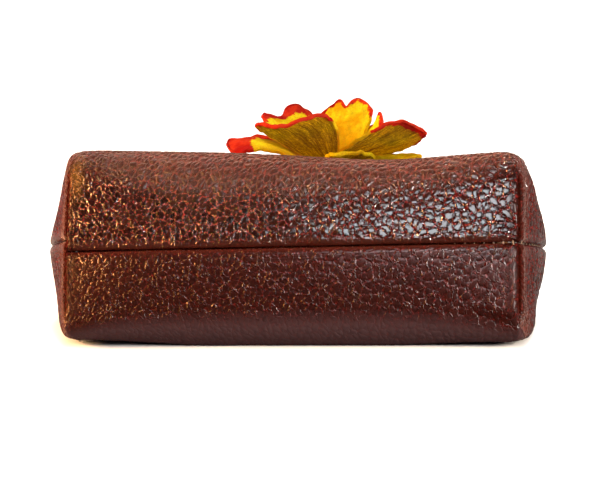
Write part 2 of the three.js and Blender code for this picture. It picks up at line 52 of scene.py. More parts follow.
LEAN_ROWS = ((1, 0, 0), (0, math.cos(LEAN), math.sin(LEAN)), (0, -math.sin(LEAN), math.cos(LEAN)))


def lying_pose():
    """Where the purse's own axes lie in the frame, worked out from its two hinge rivets."""
    corners = [c for side in ("left", "right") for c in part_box("hinge_rivet_" + side)]
    hinge_middle = sum(corners, Vector()) / len(corners)
    turn = Matrix(LEAN_ROWS).to_4x4()
    start = hinge_middle - turn.to_3x3() @ Vector((0, HINGE_H * MM, 0))
    return Matrix.Translation(start) @ turn @ Matrix.Scale(MM, 4)


LYING = lying_pose()
LYING_ROWS = np.array(LYING)


def place(points):
    """Frame coordinates of points given in the purse's own axes."""
    points = np.asarray(points, float)
    return points @ LYING_ROWS[:3, :3].T + LYING_ROWS[:3, 3]


def smooth(low, high, value):
    s = np.clip((np.asarray(value, float) - low) / (high - low), 0, 1)
    return s * s * (3 - 2 * s)


def lerp(a, b, share):
    return a + (b - a) * share


# Pouch: one column of values for each section up the purse.
SECTIONS = {
    "h": (0, 10, 22, 38, 50, 58, 66, 80, 90, 97, 101),
    "half_width": (64.2, 67.6, 72.6, 75.8, 71, 61.4, 61.6, 61.6, 61.6, 61.6, 61.6),
    "depth": (27.9, 28, 27.2, 24.6, 21.4, 18.8, 16.2, 11, 6.6, 3, 3),
    "sway": (0, 0.4, 1.2, 2, 1.2, 0, 0, 0, 0, 0, 0),
    "square": (24, 14, 4.5, 3, 3, 2.8, 2.6, 2.4, 2.4, 2.4, 2.4),
    "full": (0.05, 0.08, 0.19, 0.34, 0.48, 0.62, 0.9, 1.2, 1.3, 1.3, 1.3),
}
SECTIONS = {name: np.array(values, float) for name, values in SECTIONS.items()}
FRONT_DENTS = (  # x, h, reach across, reach up, depth
    (28, 14, 20, 16, 2.2),
    (4, 14, 22, 14, 1.0),
    (52, 10, 14, 14, 0.5),
)
LEATHER = 1.6
LIP_LEATHER = 0.6  # skived thinner where it turns in along a seam
TOUCH = 0.2  # half of the gap between two edges that are sewn together
SEAM_DEPTH = 1.2
SEAM_SLANT = 1.25
SIDE_SEAM_T = (2.1, 1.3)  # left, right
BACK_SQUARE = 1.5
BACK_SAG = 0.07
FRONT_LEAN = 0.05
FOLD_RADIUS_MIDDLE = 11.0
FOLD_RADIUS_CORNER = 3.0
BASE_BULGE = 2.4
SIDE_SLACK = (1.5, 1.2)  # how far the sides fall in between seam and face, left and right
SHOULDER_SLACK = (0.5, 1.1)  # the same under the front's box corners
CORNER_LIFT = (2.2, 1.5)  # how far the back's box corners stand clear of the floor, left and right
BACK_SPREAD = 1.8  # how far the back's right corner is pressed outwards
BASE_MIDDLE_Z = 28.4
SEAM_ROLL = 1.7  # radius of the leather where it turns into the base and side seams
CORNER_ROLL = (1.1, 1.7)  # the same at the boxed corners, left and right
LIP = 2.4  # seam allowance that stands inside
SIDE_SEAM_TOP_H = 55.0
CORNER_RAMP = 6.0  # how far below the fold a boxed corner's seam reaches its full depth
CORNER_MAP = 5.0  # width of its roll and lip on the flat map
SIDE_RISE_H = 20.0  # up to here the sides give way to the roll of their boxed corner
WELT_H = 7.0  # up to here they swell to its welt
FLAT_EDGE = 1.5  # width of the flat edge that the mouth holds
CHANNEL_GAP = 0.3  # between the mouth's channel and the leather in it
DIAGONAL = math.sqrt(0.5)

# Bands of height, or of distance from the middle, over which a change of form sets in or fades out.
MOUTH_SETS_IN = (57, 64.8)
ROLL_FADES = (48, 58)
LEAN_SETS_IN, LEAN_FADES = (0, 12), (35, 58)
SAG_HELD, SAG_FADES = (0, 30), (20, 60)
WANDER_FADES = (20, 55)
SLIDE_FADES = (0, 8)
SEAM_MARK_FADES = (52, 60)
SLACK_SETS_IN, SLACK_FADES, SLACK_OUTWARD = (2, 22), (48, 60), (40, 62)
LIFT_FADES, LIFT_OUTWARD = (0, 34), (22, 58)
SPREAD_FADES, SPREAD_OUTWARD = (25, 55), (20, 62)

FRAME_HALF_WIDTH = 65.0
FRAME_TOP_H = 104.0
FRAME_CORNER = 24.0
FRAME_BAND = 5.5
ARM_END_H = 65.5
LEATHER_EDGE_T = 3.0

LIP_STEPS = 3
ROLL_STEPS = 7
SIDE_STEPS = 40
FRONT_STEPS = 210
BASE_STEPS = 58
OUTLINE_STEPS = 480
FACE_ROWS = np.concatenate([
    np.linspace(0, 12, 21)[:-1], np.linspace(12, 56, 73)[:-1],
    np.linspace(56, 66, 17)[:-1], np.linspace(66, 101, 57),
])


def column(name, h):
    """One column of the section table at height h, on a smooth curve through its rows."""
    at, rows = SECTIONS["h"], SECTIONS[name]
    last = len(at) - 1
    before, after = np.maximum(np.arange(last + 1) - 1, 0), np.minimum(np.arange(last + 1) + 1, last)
    slopes = (rows[after] - rows[before]) / (at[after] - at[before])
    h = np.asarray(h, float)
    i = np.clip(np.searchsorted(at, h, side="right") - 1, 0, last - 1)
    span = at[i + 1] - at[i]
    s = (h - at[i]) / span
    return ((2 * s**3 - 3 * s**2 + 1) * rows[i] + (s**3 - 2 * s**2 + s) * span * slopes[i]
            + (3 * s**2 - 2 * s**3) * rows[i + 1] + (s**3 - s**2) * span * slopes[i + 1])


def frame_half_width(h, inside):
    """Half width of a line that runs `inside` the outer edge of the round-cornered mouth."""
    over = np.maximum(0, h - (FRAME_TOP_H - FRAME_CORNER))
    return FRAME_HALF_WIDTH - FRAME_CORNER + np.sqrt(np.maximum(0, (FRAME_CORNER - inside) ** 2 - over**2))


def edge_half_width(h):
    if h < ARM_END_H:
        return column("half_width", h)
    return frame_half_width(h, FRAME_HALF_WIDTH - SECTIONS["half_width"][-1])


def section_outline(h, is_front):
    """Half section at height h from its left edge to its middle, as x off the middle and t."""
    wide = float(edge_half_width(h))
    in_mouth = smooth(*MOUTH_SETS_IN, h)
    lip = float(lerp(wide, min(wide, frame_half_width(h, FRAME_BAND + CHANNEL_GAP)), in_mouth))
    edge = float(lerp(TOUCH, LEATHER_EDGE_T, in_mouth))
    depth = max(edge, float(column("depth", h)))
    square = float(column("square", h)) * (1 if is_front else BACK_SQUARE)
    turn = np.linspace(0, math.pi / 2, OUTLINE_STEPS)
    x = -lip * np.cos(turn) ** (2 / square)
    t = edge + (depth - edge) * np.sin(turn) ** (2 * float(column("full", h)))
    return np.concatenate([[-wide], x]), np.concatenate([[edge], t]), edge


def nearness(distance, reach):
    """1 at no distance, falling away over the reach."""
    return np.exp(-((distance / reach) ** 2))


def runs(*coordinates):
    """Length along a line up to each of its points."""
    steps = np.sqrt(sum(np.diff(c) ** 2 for c in coordinates))
    return np.concatenate([[0], np.cumsum(steps)])


base_x, base_t, _ = section_outline(0, True)
base_run = runs(base_x, base_t)
CORNER_AT = np.interp(math.pi / 4, np.linspace(0, math.pi / 2, OUTLINE_STEPS), base_run[1:])
CORNER_SHARE = CORNER_AT / base_run[-1]
CORNER_X = -float(np.interp(CORNER_AT, base_run, base_x))
SEAM_COLUMNS = LIP_STEPS + ROLL_STEPS
LEFT_CORNER = SEAM_COLUMNS + SIDE_STEPS
RIGHT_CORNER = LEFT_CORNER + FRONT_STEPS
CORNER_TURNS = np.linspace(0, 0.75 * math.pi, ROLL_STEPS + 1)[1:]
LIP_DEPTHS = np.linspace(0, LIP, LIP_STEPS + 1)[1:]


def section_columns(h, is_front):
    """A section's points from the left lip over the face to the right lip: x and t."""
    x, t, edge = section_outline(h, is_front)
    run = runs(x, t)
    flattened = float(smooth(*ROLL_FADES, h))
    climbed = float(np.interp(edge + SEAM_ROLL, t, run))
    start = lerp(climbed, FLAT_EDGE, flattened)
    corner = CORNER_SHARE * run[-1]
    side = start + (corner - start) * (1 - (1 - np.linspace(0, 1, SIDE_STEPS + 1)) ** 1.2)
    along = np.linspace(0, 0.5, FRONT_STEPS // 2 + 1)
    closer = 2 * (along - 0.5 * np.sin(2 * math.pi * along) / (2 * math.pi))
    face = corner + (run[-1] - corner) * closer
    stations = np.concatenate([side[:-1], face])
    main_x, main_t = np.interp(stations, run, x), np.interp(stations, run, t)
    turn = np.linspace(math.pi / 2, 0, ROLL_STEPS + 1)[:-1]
    lip_depths = LIP * np.linspace(1, 0, LIP_STEPS + 1)[:-1]
    depth_in = np.concatenate([SEAM_ROLL + lip_depths, SEAM_ROLL * (1 - np.cos(turn))])
    level = np.concatenate([np.zeros(LIP_STEPS), SEAM_ROLL * (1 - np.sin(turn))])
    rolled_x, rolled_t = main_x[0] + depth_in, edge + level
    flat = np.linspace(0, FLAT_EDGE, SEAM_COLUMNS + 1)[:-1]
    lip_x = lerp(rolled_x, np.interp(flat, run, x), flattened)
    lip_t = lerp(rolled_t, np.interp(flat, run, t), flattened)
    half_x, half_t = np.concatenate([lip_x, main_x]), np.concatenate([lip_t, main_t])
    sway = float(column("sway", h))
    return np.concatenate([sway + half_x, sway - half_x[-2::-1]]), np.concatenate([half_t, half_t[-2::-1]])


def fold_drop(x, h):
    """How far the fold over the edge of the base lowers the face at height h."""
    outward = np.minimum(1, np.abs(x) / CORNER_X)
    radius = lerp(FOLD_RADIUS_MIDDLE, FOLD_RADIUS_CORNER, outward**4)
    inside = np.maximum(0, radius - np.maximum(h, 0))
    return radius - np.sqrt(np.maximum(0, radius**2 - inside**2))


def dent_depth(x, h):
    return sum(depth * np.exp(-(((x - at_x) / across) ** 2) - ((h - at_h) / up) ** 2)
               for at_x, at_h, across, up, depth in FRONT_DENTS)


def front_lean(x, h):
    held = lerp(1, smooth(*LEAN_SETS_IN, h), smooth(-CORNER_X, CORNER_X, x))
    return FRONT_LEAN * held * (1 - smooth(*LEAN_FADES, h))


def back_fullness(x, h):
    outward = np.minimum(1, np.abs(x) / CORNER_X)
    hold = 0.8 * outward**6 * (1 - smooth(*SAG_HELD, h))
    return 1 + BACK_SAG * (1 - smooth(*SAG_FADES, h)) * (1 - hold)


def floor_depth(h):
    return (h * math.sin(LEAN) - BASE_MIDDLE_Z) / math.cos(LEAN)


def side_shift(x):
    return np.where(x < 0, SIDE_SEAM_T[0], SIDE_SEAM_T[1])


def settle(x, h, t, shift, is_front):
    """Where a point of the plain section lies in the sewn pouch: dented or sagged, its seams wandering."""
    depth = column("depth", np.clip(h, 0, FACE_ROWS[-1]))
    share = np.clip(t / depth, 0, 1)
    away = (1 - smooth(*WANDER_FADES, h)) * (1 - share)
    slack = np.where(x < 0, *SIDE_SLACK) * np.sin(math.pi * share)
    if is_front:
        slack = slack + np.where(x < 0, *SHOULDER_SLACK) * nearness(share - 0.86, 0.12)
    slack = slack * smooth(*SLACK_SETS_IN, h) * (1 - smooth(*SLACK_FADES, h))
    slack = slack * smooth(*SLACK_OUTWARD, np.abs(x))
    x = x - np.sign(x) * slack
    if is_front:
        level = t - dent_depth(x, h) * smooth(0.5, 1, t / depth) + shift * away
        return np.stack([x + front_lean(x, h) * t, h, level], -1)
    lift = np.where(x < 0, *CORNER_LIFT) * smooth(*LIFT_OUTWARD, np.abs(x))
    lift = lift * (1 - smooth(*LIFT_FADES, h)) * share
    level = np.maximum(-t * back_fullness(x, h) + shift * away, floor_depth(h)) + lift
    pressed = lerp(smooth(0.75, 1, share), smooth(0.45, 0.95, share), smooth(0, 10, h))
    spread = BACK_SPREAD * pressed * smooth(*SPREAD_OUTWARD, x) * (1 - smooth(*SPREAD_FADES, h))
    return np.stack([x + spread, h, level], -1)


class PouchSheet:
    """Outer face of one half of the pouch: a face with its two sides, and the half of the base below them.

    Along every seam the leather rolls in and ends in a lip inside the pouch. The sheet holds its points,
    grids of their numbers, their marks, their places on a flat map in millimetres, and its seam lines."""

    def __init__(self, is_front):
        self.is_front = is_front
        self.count = 0
        self.points, self.flat_map, self.grids = [], [], []
        self.marks = {"thin": [], "seam": [], "corner": [], "side": []}
        self.add_face()
        self.add_side_corner(np.arange(LEFT_CORNER + 1), LEFT_CORNER)
        self.add_side_corner(np.arange(RIGHT_CORNER, len(self.sign)), RIGHT_CORNER)
        self.add_base()
        self.points, self.flat_map = np.concatenate(self.points), np.concatenate(self.flat_map)
        self.marks = {name: np.concatenate(values) for name, values in self.marks.items()}

    def add(self, points, flat, **marks):
        """Adds points with their places on the flat map and their marks, and gives their numbers."""
        points = points.reshape(-1, 3)
        ids = self.count + np.arange(len(points))
        self.count += len(points)
        self.points.append(points)
        self.flat_map.append(flat.reshape(-1, 2))
        for name, values in marks.items():
            self.marks[name].append(np.broadcast_to(np.ravel(values).astype(float), len(points)))
        return ids

    def add_face(self):
        """The face and its sides. A side stops a roll short of the base and swells to its corner's welt."""
        x, t = (np.array(rows) for rows in zip(*(section_columns(h, self.is_front) for h in FACE_ROWS)))
        rows, columns = x.shape
        middle = columns // 2
        off_middle = np.abs(np.arange(columns) - middle)
        is_side = off_middle > FRONT_STEPS // 2
        sign = np.where(np.arange(columns) < middle, -1.0, 1.0)
        h = np.repeat(FACE_ROWS[:, None], columns, axis=1)

        self.corner_t = t[0, LEFT_CORNER]
        ramp = smooth(0, CORNER_RAMP, self.corner_t - t[0])
        roll = np.where(sign < 0, *CORNER_ROLL) * ramp
        groove_x, groove_h = np.abs(x[0]) - SEAM_DEPTH * ramp, SEAM_DEPTH * ramp
        start_h = np.where(is_side, groove_h + DIAGONAL * roll, 0)
        raised = h + start_h * np.maximum(0, 1 - h / SIDE_RISE_H) ** 2
        for c in np.flatnonzero(is_side):
            x[:, c], t[:, c] = (np.interp(raised[:, c], FACE_ROWS, values[:, c]) for values in (x, t))
        welt = np.where(is_side, groove_x + DIAGONAL * roll + roll - np.abs(x[0]), 0)
        x = x + sign * welt * (1 - smooth(0, WELT_H, raised - start_h))
        t = t * (1 - fold_drop(x, h) / column("depth", h))
        h = raised

        along = np.clip(x / CORNER_X, -1, 1)
        slide = lerp(SEAM_SLANT * along, lerp(*SIDE_SEAM_T, (along + 1) / 2), smooth(*SLIDE_FADES, h))
        shift = lerp(slide, side_shift(x), np.clip(off_middle - FRONT_STEPS / 2, 0, 5) / 5)
        face = settle(x, h, t, shift, self.is_front)

        near_side_seam = np.clip(1 + (off_middle - (middle - SEAM_COLUMNS)) / 3, 0, 1)
        near_side_seam = near_side_seam * (1 - smooth(*SEAM_MARK_FADES, FACE_ROWS))[:, None]
        side_ramp = np.where(is_side, ramp, 0)
        near_corner = side_ramp * nearness(h - start_h, 1.1)
        plain_corner = side_ramp * nearness(h - start_h, 0.5) * 0.6
        across = np.sqrt((np.diff(face, axis=1) ** 2).sum(-1))
        u = np.concatenate([np.zeros((rows, 1)), np.cumsum(across, axis=1)], axis=1)
        u -= u[:, middle:middle + 1]
        v = np.repeat(runs(*face[:, middle].T)[:, None], columns, axis=1)
        ids = self.add(
            face, np.stack([u, v], -1), thin=np.maximum(near_side_seam, near_corner),
            seam=np.maximum(near_side_seam, plain_corner), corner=0.4 * plain_corner,
            side=np.broadcast_to(is_side, x.shape),
        ).reshape(rows, columns)
        self.grids.append((ids, not self.is_front))
        self.right_seam = face[FACE_ROWS < SIDE_SEAM_TOP_H, -1 - LIP_STEPS]

        # The lowest row, from which the corners and the base go on.
        self.sign, self.ramp, self.roll, self.groove_x, self.groove_h = sign, ramp, roll, groove_x, groove_h
        self.edge_x, self.edge_t, self.edge_shift, self.edge_points = x[0], t[0], shift[0], face[0]
        self.edge_u, self.edge_v, self.edge_ids = u[0], v[0], ids[0]
        bare_side = slice(SEAM_COLUMNS, LEFT_CORNER + 1)
        self.side_t, self.side_x = t[0, bare_side], np.abs(x[0] - sign * welt)[bare_side]

    def add_side_corner(self, columns, corner):
        """The roll and lip of one side at its boxed corner."""
        ramp, roll = self.ramp[columns], self.roll[columns]
        groove_x, groove_h = self.groove_x[columns], self.groove_h[columns]
        # How far the side seam's own roll and lip set the edge in.
        inset = np.abs(self.edge_x[columns]) - (groove_x + DIAGONAL * roll + roll)
        strip = [self.edge_ids[columns]]
        for is_roll, amount in [(True, a) for a in CORNER_TURNS] + [(False, d) for d in LIP_DEPTHS]:
            if is_roll:
                x = groove_x + DIAGONAL * roll + roll * math.cos(amount)
                h = groove_h + DIAGONAL * roll - roll * math.sin(amount)
                way_round, way_in = amount / CORNER_TURNS[-1], amount * CORNER_ROLL[1]
            else:
                x = groove_x - DIAGONAL * amount * ramp
                h = groove_h + DIAGONAL * amount * ramp
                way_round, way_in = 1.0, amount
            x = self.sign[columns] * (x + inset)
            points = settle(x, h, self.edge_t[columns], self.edge_shift[columns], self.is_front)
            flat = np.stack([self.edge_u[columns], self.edge_v[columns] - way_in], -1)
            deep = ramp * (0.5 + 0.5 * way_round)
            ids = self.add(points, flat, thin=1, seam=way_round**2, corner=deep, side=1)
            ids[columns == corner] = self.edge_ids[corner]
            strip.append(ids)
        self.grids.append((np.array(strip), self.is_front))

    def base_end(self, level, top_level, radius):
        """Groove of the corner at one end of a base row: x, h, radius of the roll and how grown it is."""
        ramp = float(smooth(0, CORNER_RAMP, self.corner_t - level * self.corner_t / top_level))
        edge_x = float(np.interp(level, self.side_t, self.side_x))
        return edge_x - SEAM_DEPTH * ramp, SEAM_DEPTH * ramp, radius * ramp, ramp

    def add_base(self):
        """Half of the base, from the fold down to the base seam, rolled in there and at the boxed corners."""
        top = slice(LEFT_CORNER, RIGHT_CORNER + 1)
        top_x, top_t, u = self.edge_x[top], self.edge_t[top], self.edge_u[top]
        outward = np.abs(top_x) / CORNER_X
        from_corner = (1 - outward) * CORNER_X
        past_corner = np.linspace(0, CORNER_MAP, SEAM_COLUMNS + 1)[1:]
        u = np.concatenate([u[0] - past_corner[::-1], u, u[-1] + past_corner])
        v, above = np.zeros(len(top_x)), self.edge_points[top]
        way_round = CORNER_TURNS / CORNER_TURNS[-1]
        corner_deep = np.append(0.5 + 0.5 * way_round, np.ones(LIP_STEPS))

        stations = [("flat", d) for d in 1 - (1 - np.linspace(0, 1, BASE_STEPS + 1)[1:]) ** 1.25]
        stations += [("roll", a) for a in np.linspace(0, math.pi / 2, ROLL_STEPS + 1)[1:]]
        stations += [("lip", d) for d in LIP_DEPTHS]
        strips = [np.pad(self.edge_ids[top], SEAM_COLUMNS, mode="edge")]
        for kind, amount in stations:
            level, drawn_in = lerp(top_t, TOUCH + SEAM_ROLL, amount if kind == "flat" else 1.0), 0.0
            rolled = amount / (math.pi / 2) if kind == "roll" else 1.0
            thin = np.ones(len(top_x))
            seam = np.full(len(top_x), 0.2 + 0.8 * rolled if self.is_front else rolled**2)
            if kind == "flat":
                rise = level - TOUCH - SEAM_ROLL
                thin = np.maximum(nearness(rise, 0.8), nearness(from_corner, 0.9))
                seam = 0.2 * nearness(rise, 0.6) * self.is_front
            elif kind == "roll":
                level, drawn_in = level - SEAM_ROLL * math.sin(amount), SEAM_ROLL * (1 - math.cos(amount))
            else:
                level, drawn_in = np.full_like(level, TOUCH * (1 - 0.95 * amount / LIP)), SEAM_ROLL + amount

            ends = [self.base_end(level[i], top_t[i], radius) for i, radius in zip((0, -1), CORNER_ROLL)]
            end_x = [x - DIAGONAL * r for x, _, r, _ in ends]
            end_h = [h - DIAGONAL * r - r for _, h, r, _ in ends]
            share = np.where(top_x < 0, end_x[0] / abs(top_x[0]), end_x[1] / abs(top_x[-1]))
            reach = np.clip(1 - (level - TOUCH) / (top_t - TOUCH), 0, 1)
            bulge = BASE_BULGE * np.sin(math.pi / 2 * reach) * (1 - outward**6)
            row_x = top_x * lerp(1, share, outward**2)
            row_h = -bulge + np.where(top_x < 0, *end_h) * outward**8 + drawn_in
            row = row_x, row_h, level, thin, seam, 0.5 * nearness(from_corner, 1.2) * ends[0][3]
            corner_seam = np.append(np.maximum(way_round**2, seam[0]), np.ones(LIP_STEPS))
            corners = []
            for side, end_level, (x, h, r, ramp) in zip((-1, 1), (level[0], level[-1]), ends):
                lip_way = DIAGONAL * LIP_DEPTHS * ramp
                way_x = np.append(x - DIAGONAL * r + r * np.sin(CORNER_TURNS), x - lip_way)
                way_h = np.append(h - DIAGONAL * r - r * np.cos(CORNER_TURNS), h + lip_way)
                corners.append((side * way_x, way_h + drawn_in, np.full(SEAM_COLUMNS, end_level),
                                np.ones(SEAM_COLUMNS), corner_seam, corner_deep * ramp))
            x, h, t, thin, seam, corner = (
                np.concatenate([left[::-1], middle, right])
                for left, middle, right in zip(corners[0], row, corners[1]))

            points = settle(x, h, t, SEAM_SLANT * np.clip(x / CORNER_X, -1, 1), self.is_front)
            main = points[SEAM_COLUMNS:-SEAM_COLUMNS]
            v = v - np.sqrt(((main - above) ** 2).sum(-1))
            above = main
            flat = np.stack([u, np.pad(v, SEAM_COLUMNS, mode="edge")], -1)
            strips.append(self.add(points, flat, thin=thin, seam=seam, corner=corner, side=0))
            if kind == "roll":
                self.base_seam = main
        self.grids.append((np.array(strips), self.is_front))


def sheet_faces(grids, every):
    """Faces over every so many rows and columns of the grids, without repeated corners or empty faces."""
    kept = []
    for ids, flipped in grids:
        ids = ids[::every, ::every]
        quads = np.stack([ids[:-1, :-1], ids[:-1, 1:], ids[1:, 1:], ids[1:, :-1]], -1).reshape(-1, 4)
        for quad in (quads[:, ::-1] if flipped else quads).tolist():
            corners = [c for i, c in enumerate(quad) if c != quad[i - 1]]
            if len(set(corners)) == len(corners) and len(corners) >= 3:
                kept.append(corners)
    return kept


def vertex_normals(points, faces):
    normals = np.zeros_like(points)
    for size in (3, 4):
        some = np.array([f for f in faces if len(f) == size], int).reshape(-1, size)
        if len(some):
            first, second = points[some[:, 2]] - points[some[:, 0]], points[some[:, -1]] - points[some[:, 1]]
            normal = np.cross(first, second)
            for k in range(size):
                np.add.at(normals, some[:, k], normal)
    return normals / np.maximum(1e-12, np.linalg.norm(normals, axis=1, keepdims=True))


def open_edges(faces):
    directed = {(f[i - 1], f[i]) for f in faces for i in range(len(f))}
    return sorted((a, b) for a, b in directed if (b, a) not in directed)


def thicken(points, fine, coarse, inward):
    """A closed wall: a fine outer face, a coarse inner one as far in as given, and the rim between them."""
    kept = sorted({c for f in coarse for c in f})
    inner_of = {c: len(points) + i for i, c in enumerate(kept)}
    inner = (points - vertex_normals(points, fine) * np.asarray(inward)[:, None])[kept]
    back = [[inner_of[c] for c in reversed(f)] for f in coarse]
    after = dict(open_edges(fine))
    rim = []
    for a, b in open_edges(coarse):
        between = after[a]
        if between == b:
            rim.append([b, a, inner_of[a], inner_of[b]])
        else:
            rim += [[between, a, inner_of[a]], [between, inner_of[a], inner_of[b]], [between, inner_of[b], b]]
    return np.concatenate([points, inner]), back, rim, kept


def linked(name, data):
    """A new object in the scene."""
    made = bpy.data.objects.new(name, data)
    bpy.context.scene.collection.objects.link(made)
    return made


def set_floats(mesh, floats):
    for label, values in floats.items():
        mesh.attributes.new(label, "FLOAT", "POINT").data.foreach_set("value", np.asarray(values, np.float32))


def mesh_piece(name, points, faces, material_of=None, materials=(), floats=None, flat_map=None):
    mesh = bpy.data.meshes.new(name)
    mesh.from_pydata(points.tolist(), [], faces)
    for material in materials:
        mesh.materials.append(material)
    if material_of is not None:
        mesh.polygons.foreach_set("material_index", np.asarray(material_of, np.int32))
    mesh.polygons.foreach_set("use_smooth", np.ones(len(mesh.polygons), bool))
    set_floats(mesh, floats or {})
    if flat_map is not None:
        corners = np.zeros(len(mesh.loops), np.int32)
        mesh.loops.foreach_get("vertex_index", corners)
        layer = mesh.uv_layers.new(name="hide_map")
        layer.data.foreach_set("uv", np.asarray(flat_map, np.float32)[corners].reshape(-1))
    mesh.validate()
    return linked(name, mesh)


# Grain of the leather, where the hide is worn, and where a gold highlight is painted on.
GRAIN_PITCH = 1.85
GRAIN_SPREAD = 3.2  # how much coarser the grain gets from left to right, per metre
GRAIN_FAN = 4.0  # how much closer together it is drawn up the sheet, per metre
GRAIN_RELIEF = 0.18
RELIEF_FADES = (96, 100)  # heights, where the mouth holds the leather
WORN_LEAST, WORN_MORE, WORN_SETS_IN = 0.1, 0.6, (2, 13)  # back half, by the way from its base seam
HIGHLIGHT_FROM_END, HIGHLIGHT_REACH = 6.0, (1.8, 5.0)  # painted gold highlight at the left end of the front's base


def feed(tree, node, values):
    """Gives a node its inputs, as values or as links from other nodes' outputs."""
    for key, value in values.items():
        if isinstance(value, bpy.types.NodeSocket):
            tree.links.new(value, node.inputs[key])
        else:
            node.inputs[key].default_value = value


def add_node(tree, kind, values=None, **settings):
    made = tree.nodes.new(kind)
    for name, value in settings.items():
        setattr(made, name, value)
    feed(tree, made, values or {})
    return made


def calc(tree, operation, *values, clamp=False):
    made = add_node(tree, "ShaderNodeMath", dict(enumerate(values)), operation=operation, use_clamp=clamp)
    return made.outputs[0]


def vector_calc(tree, operation, *values):
    return add_node(tree, "ShaderNodeVectorMath", dict(enumerate(values)), operation=operation).outputs[0]


def scaled(tree, vector, scale):
    return add_node(tree, "ShaderNodeVectorMath", {0: vector, "Scale": scale}, operation="SCALE").outputs[0]


def step_between(tree, value, low, high, start=0.0, end=1.0):
    made = add_node(tree, "ShaderNodeMapRange",
                    {"Value": value, "From Min": low, "From Max": high, "To Min": start, "To Max": end},
                    interpolation_type="SMOOTHSTEP")
    return made.outputs["Result"]


def noise(tree, vector, scale, detail=2.0, roughness=0.5, output=0):
    values = {"Vector": vector, "Scale": scale, "Detail": detail, "Roughness": roughness}
    return add_node(tree, "ShaderNodeTexNoise", values).outputs[output]


def wander(tree, vector, scale, detail, reach):
    """A random offset of up to half the reach each way."""
    colour = noise(tree, vector, scale, detail, output="Color")
    return scaled(tree, vector_calc(tree, "SUBTRACT", colour, (0.5, 0.5, 0.5)), reach)


def pebble_cells(tree, flat, pitch, fan):
    """Layout of the leather's pebbles on a flat map in metres, drawn together towards the top of the sheet.

    Gives the map in pebbles, the same map bent, the values of each pebble, and the way in from its edge."""
    part = add_node(tree, "ShaderNodeSeparateXYZ", {"Vector": flat}).outputs
    coarser = calc(tree, "MULTIPLY_ADD", part[0], GRAIN_SPREAD, 1.0)
    spread = calc(tree, "DIVIDE", calc(tree, "LOGARITHM", coarser, math.e), GRAIN_SPREAD)
    fanned = calc(tree, "MULTIPLY", spread, calc(tree, "MULTIPLY_ADD", part[1], fan, 1.0))
    risen = calc(tree, "DIVIDE", calc(tree, "MULTIPLY", part[1], 0.84), coarser)
    drawn = add_node(tree, "ShaderNodeCombineXYZ", {0: fanned, 1: risen}).outputs[0]
    cells = scaled(tree, drawn, calc(tree, "DIVIDE", 1 / MM, pitch))
    bent = vector_calc(tree, "ADD", cells, wander(tree, cells, 0.3, 1.0, 1.4))
    bent = vector_calc(tree, "ADD", bent, wander(tree, cells, 2.0, 2.0, 0.7))
    layout = {"Vector": bent, "Scale": 1.0, "Randomness": 0.9}
    edges, cell = (
        add_node(tree, "ShaderNodeTexVoronoi", layout, voronoi_dimensions="2D", feature=feature).outputs
        for feature in ("DISTANCE_TO_EDGE", "F1"))
    off_middle = calc(tree, "SUBTRACT", cell["Distance"], 0.3)
    rounded = calc(tree, "MULTIPLY_ADD", off_middle, -0.3, edges["Distance"])
    return cells, bent, cell, rounded


def new_tree(name, kind, inputs, outputs):
    """An empty node group with named sockets: its tree, its inputs and where its outputs go."""
    tree = bpy.data.node_groups.new(name, kind)
    for label, socket in inputs:
        tree.interface.new_socket(label, in_out="INPUT", socket_type=socket)
    for label, socket in outputs:
        tree.interface.new_socket(label, in_out="OUTPUT", socket_type=socket)
    return tree, tree.nodes.new("NodeGroupInput").outputs, tree.nodes.new("NodeGroupOutput").inputs


def named_value(tree, name, kind="FLOAT"):
    found = add_node(tree, "GeometryNodeInputNamedAttribute", {"Name": name}, data_type=kind)
    return found.outputs["Attribute"]


def leather_relief():
    """Raises the pebbles of the grain on the outer face of the leather."""
    tree, given, result = new_tree(
        "leather_relief", "GeometryNodeTree",
        [("Leather", "NodeSocketGeometry"), ("Pitch mm", "NodeSocketFloat"), ("Fan", "NodeSocketFloat"),
         ("Relief mm", "NodeSocketFloat"), ("Outside", "NodeSocketMaterial"),
         ("Inside", "NodeSocketMaterial")],
        [("Leather", "NodeSocketGeometry")],
    )
    flat = named_value(tree, "hide_map", "FLOAT_VECTOR")
    _, _, _, rounded = pebble_cells(tree, flat, given["Pitch mm"], given["Fan"])
    raised = step_between(tree, rounded, -0.02, 0.2, -0.65, 0.35)
    raised = calc(tree, "MULTIPLY", raised, named_value(tree, "relief"))
    raised = calc(tree, "MULTIPLY", raised, given["Relief mm"])
    outward = add_node(tree, "GeometryNodeInputNormal").outputs[0]
    offset = scaled(tree, outward, calc(tree, "MULTIPLY", raised, MM))
    moved = {"Geometry": given["Leather"], "Offset": offset}
    made = add_node(tree, "GeometryNodeSetPosition", moved).outputs[0]
    made = add_node(tree, "GeometryNodeRealizeInstances", {"Geometry": made}).outputs[0]
    is_inside = add_node(tree, "GeometryNodeInputMaterialIndex").outputs[0]
    is_outside = calc(tree, "SUBTRACT", 1.0, is_inside)
    for faces, material in ((is_inside, given["Inside"]), (is_outside, given["Outside"])):
        values = {"Geometry": made, "Material": material, "Selection": faces}
        made = add_node(tree, "GeometryNodeSetMaterial", values).outputs[0]
    tree.links.new(made, result[0])
    return tree


def ends_in(tree, geometry, finish, result):
    """The last nodes of a tree: whole and faced with its finish."""
    whole = add_node(tree, "GeometryNodeRealizeInstances", {"Geometry": geometry}).outputs[0]
    faced = add_node(tree, "GeometryNodeSetMaterial", {"Geometry": whole, "Material": finish}).outputs[0]
    tree.links.new(faced, result[0])


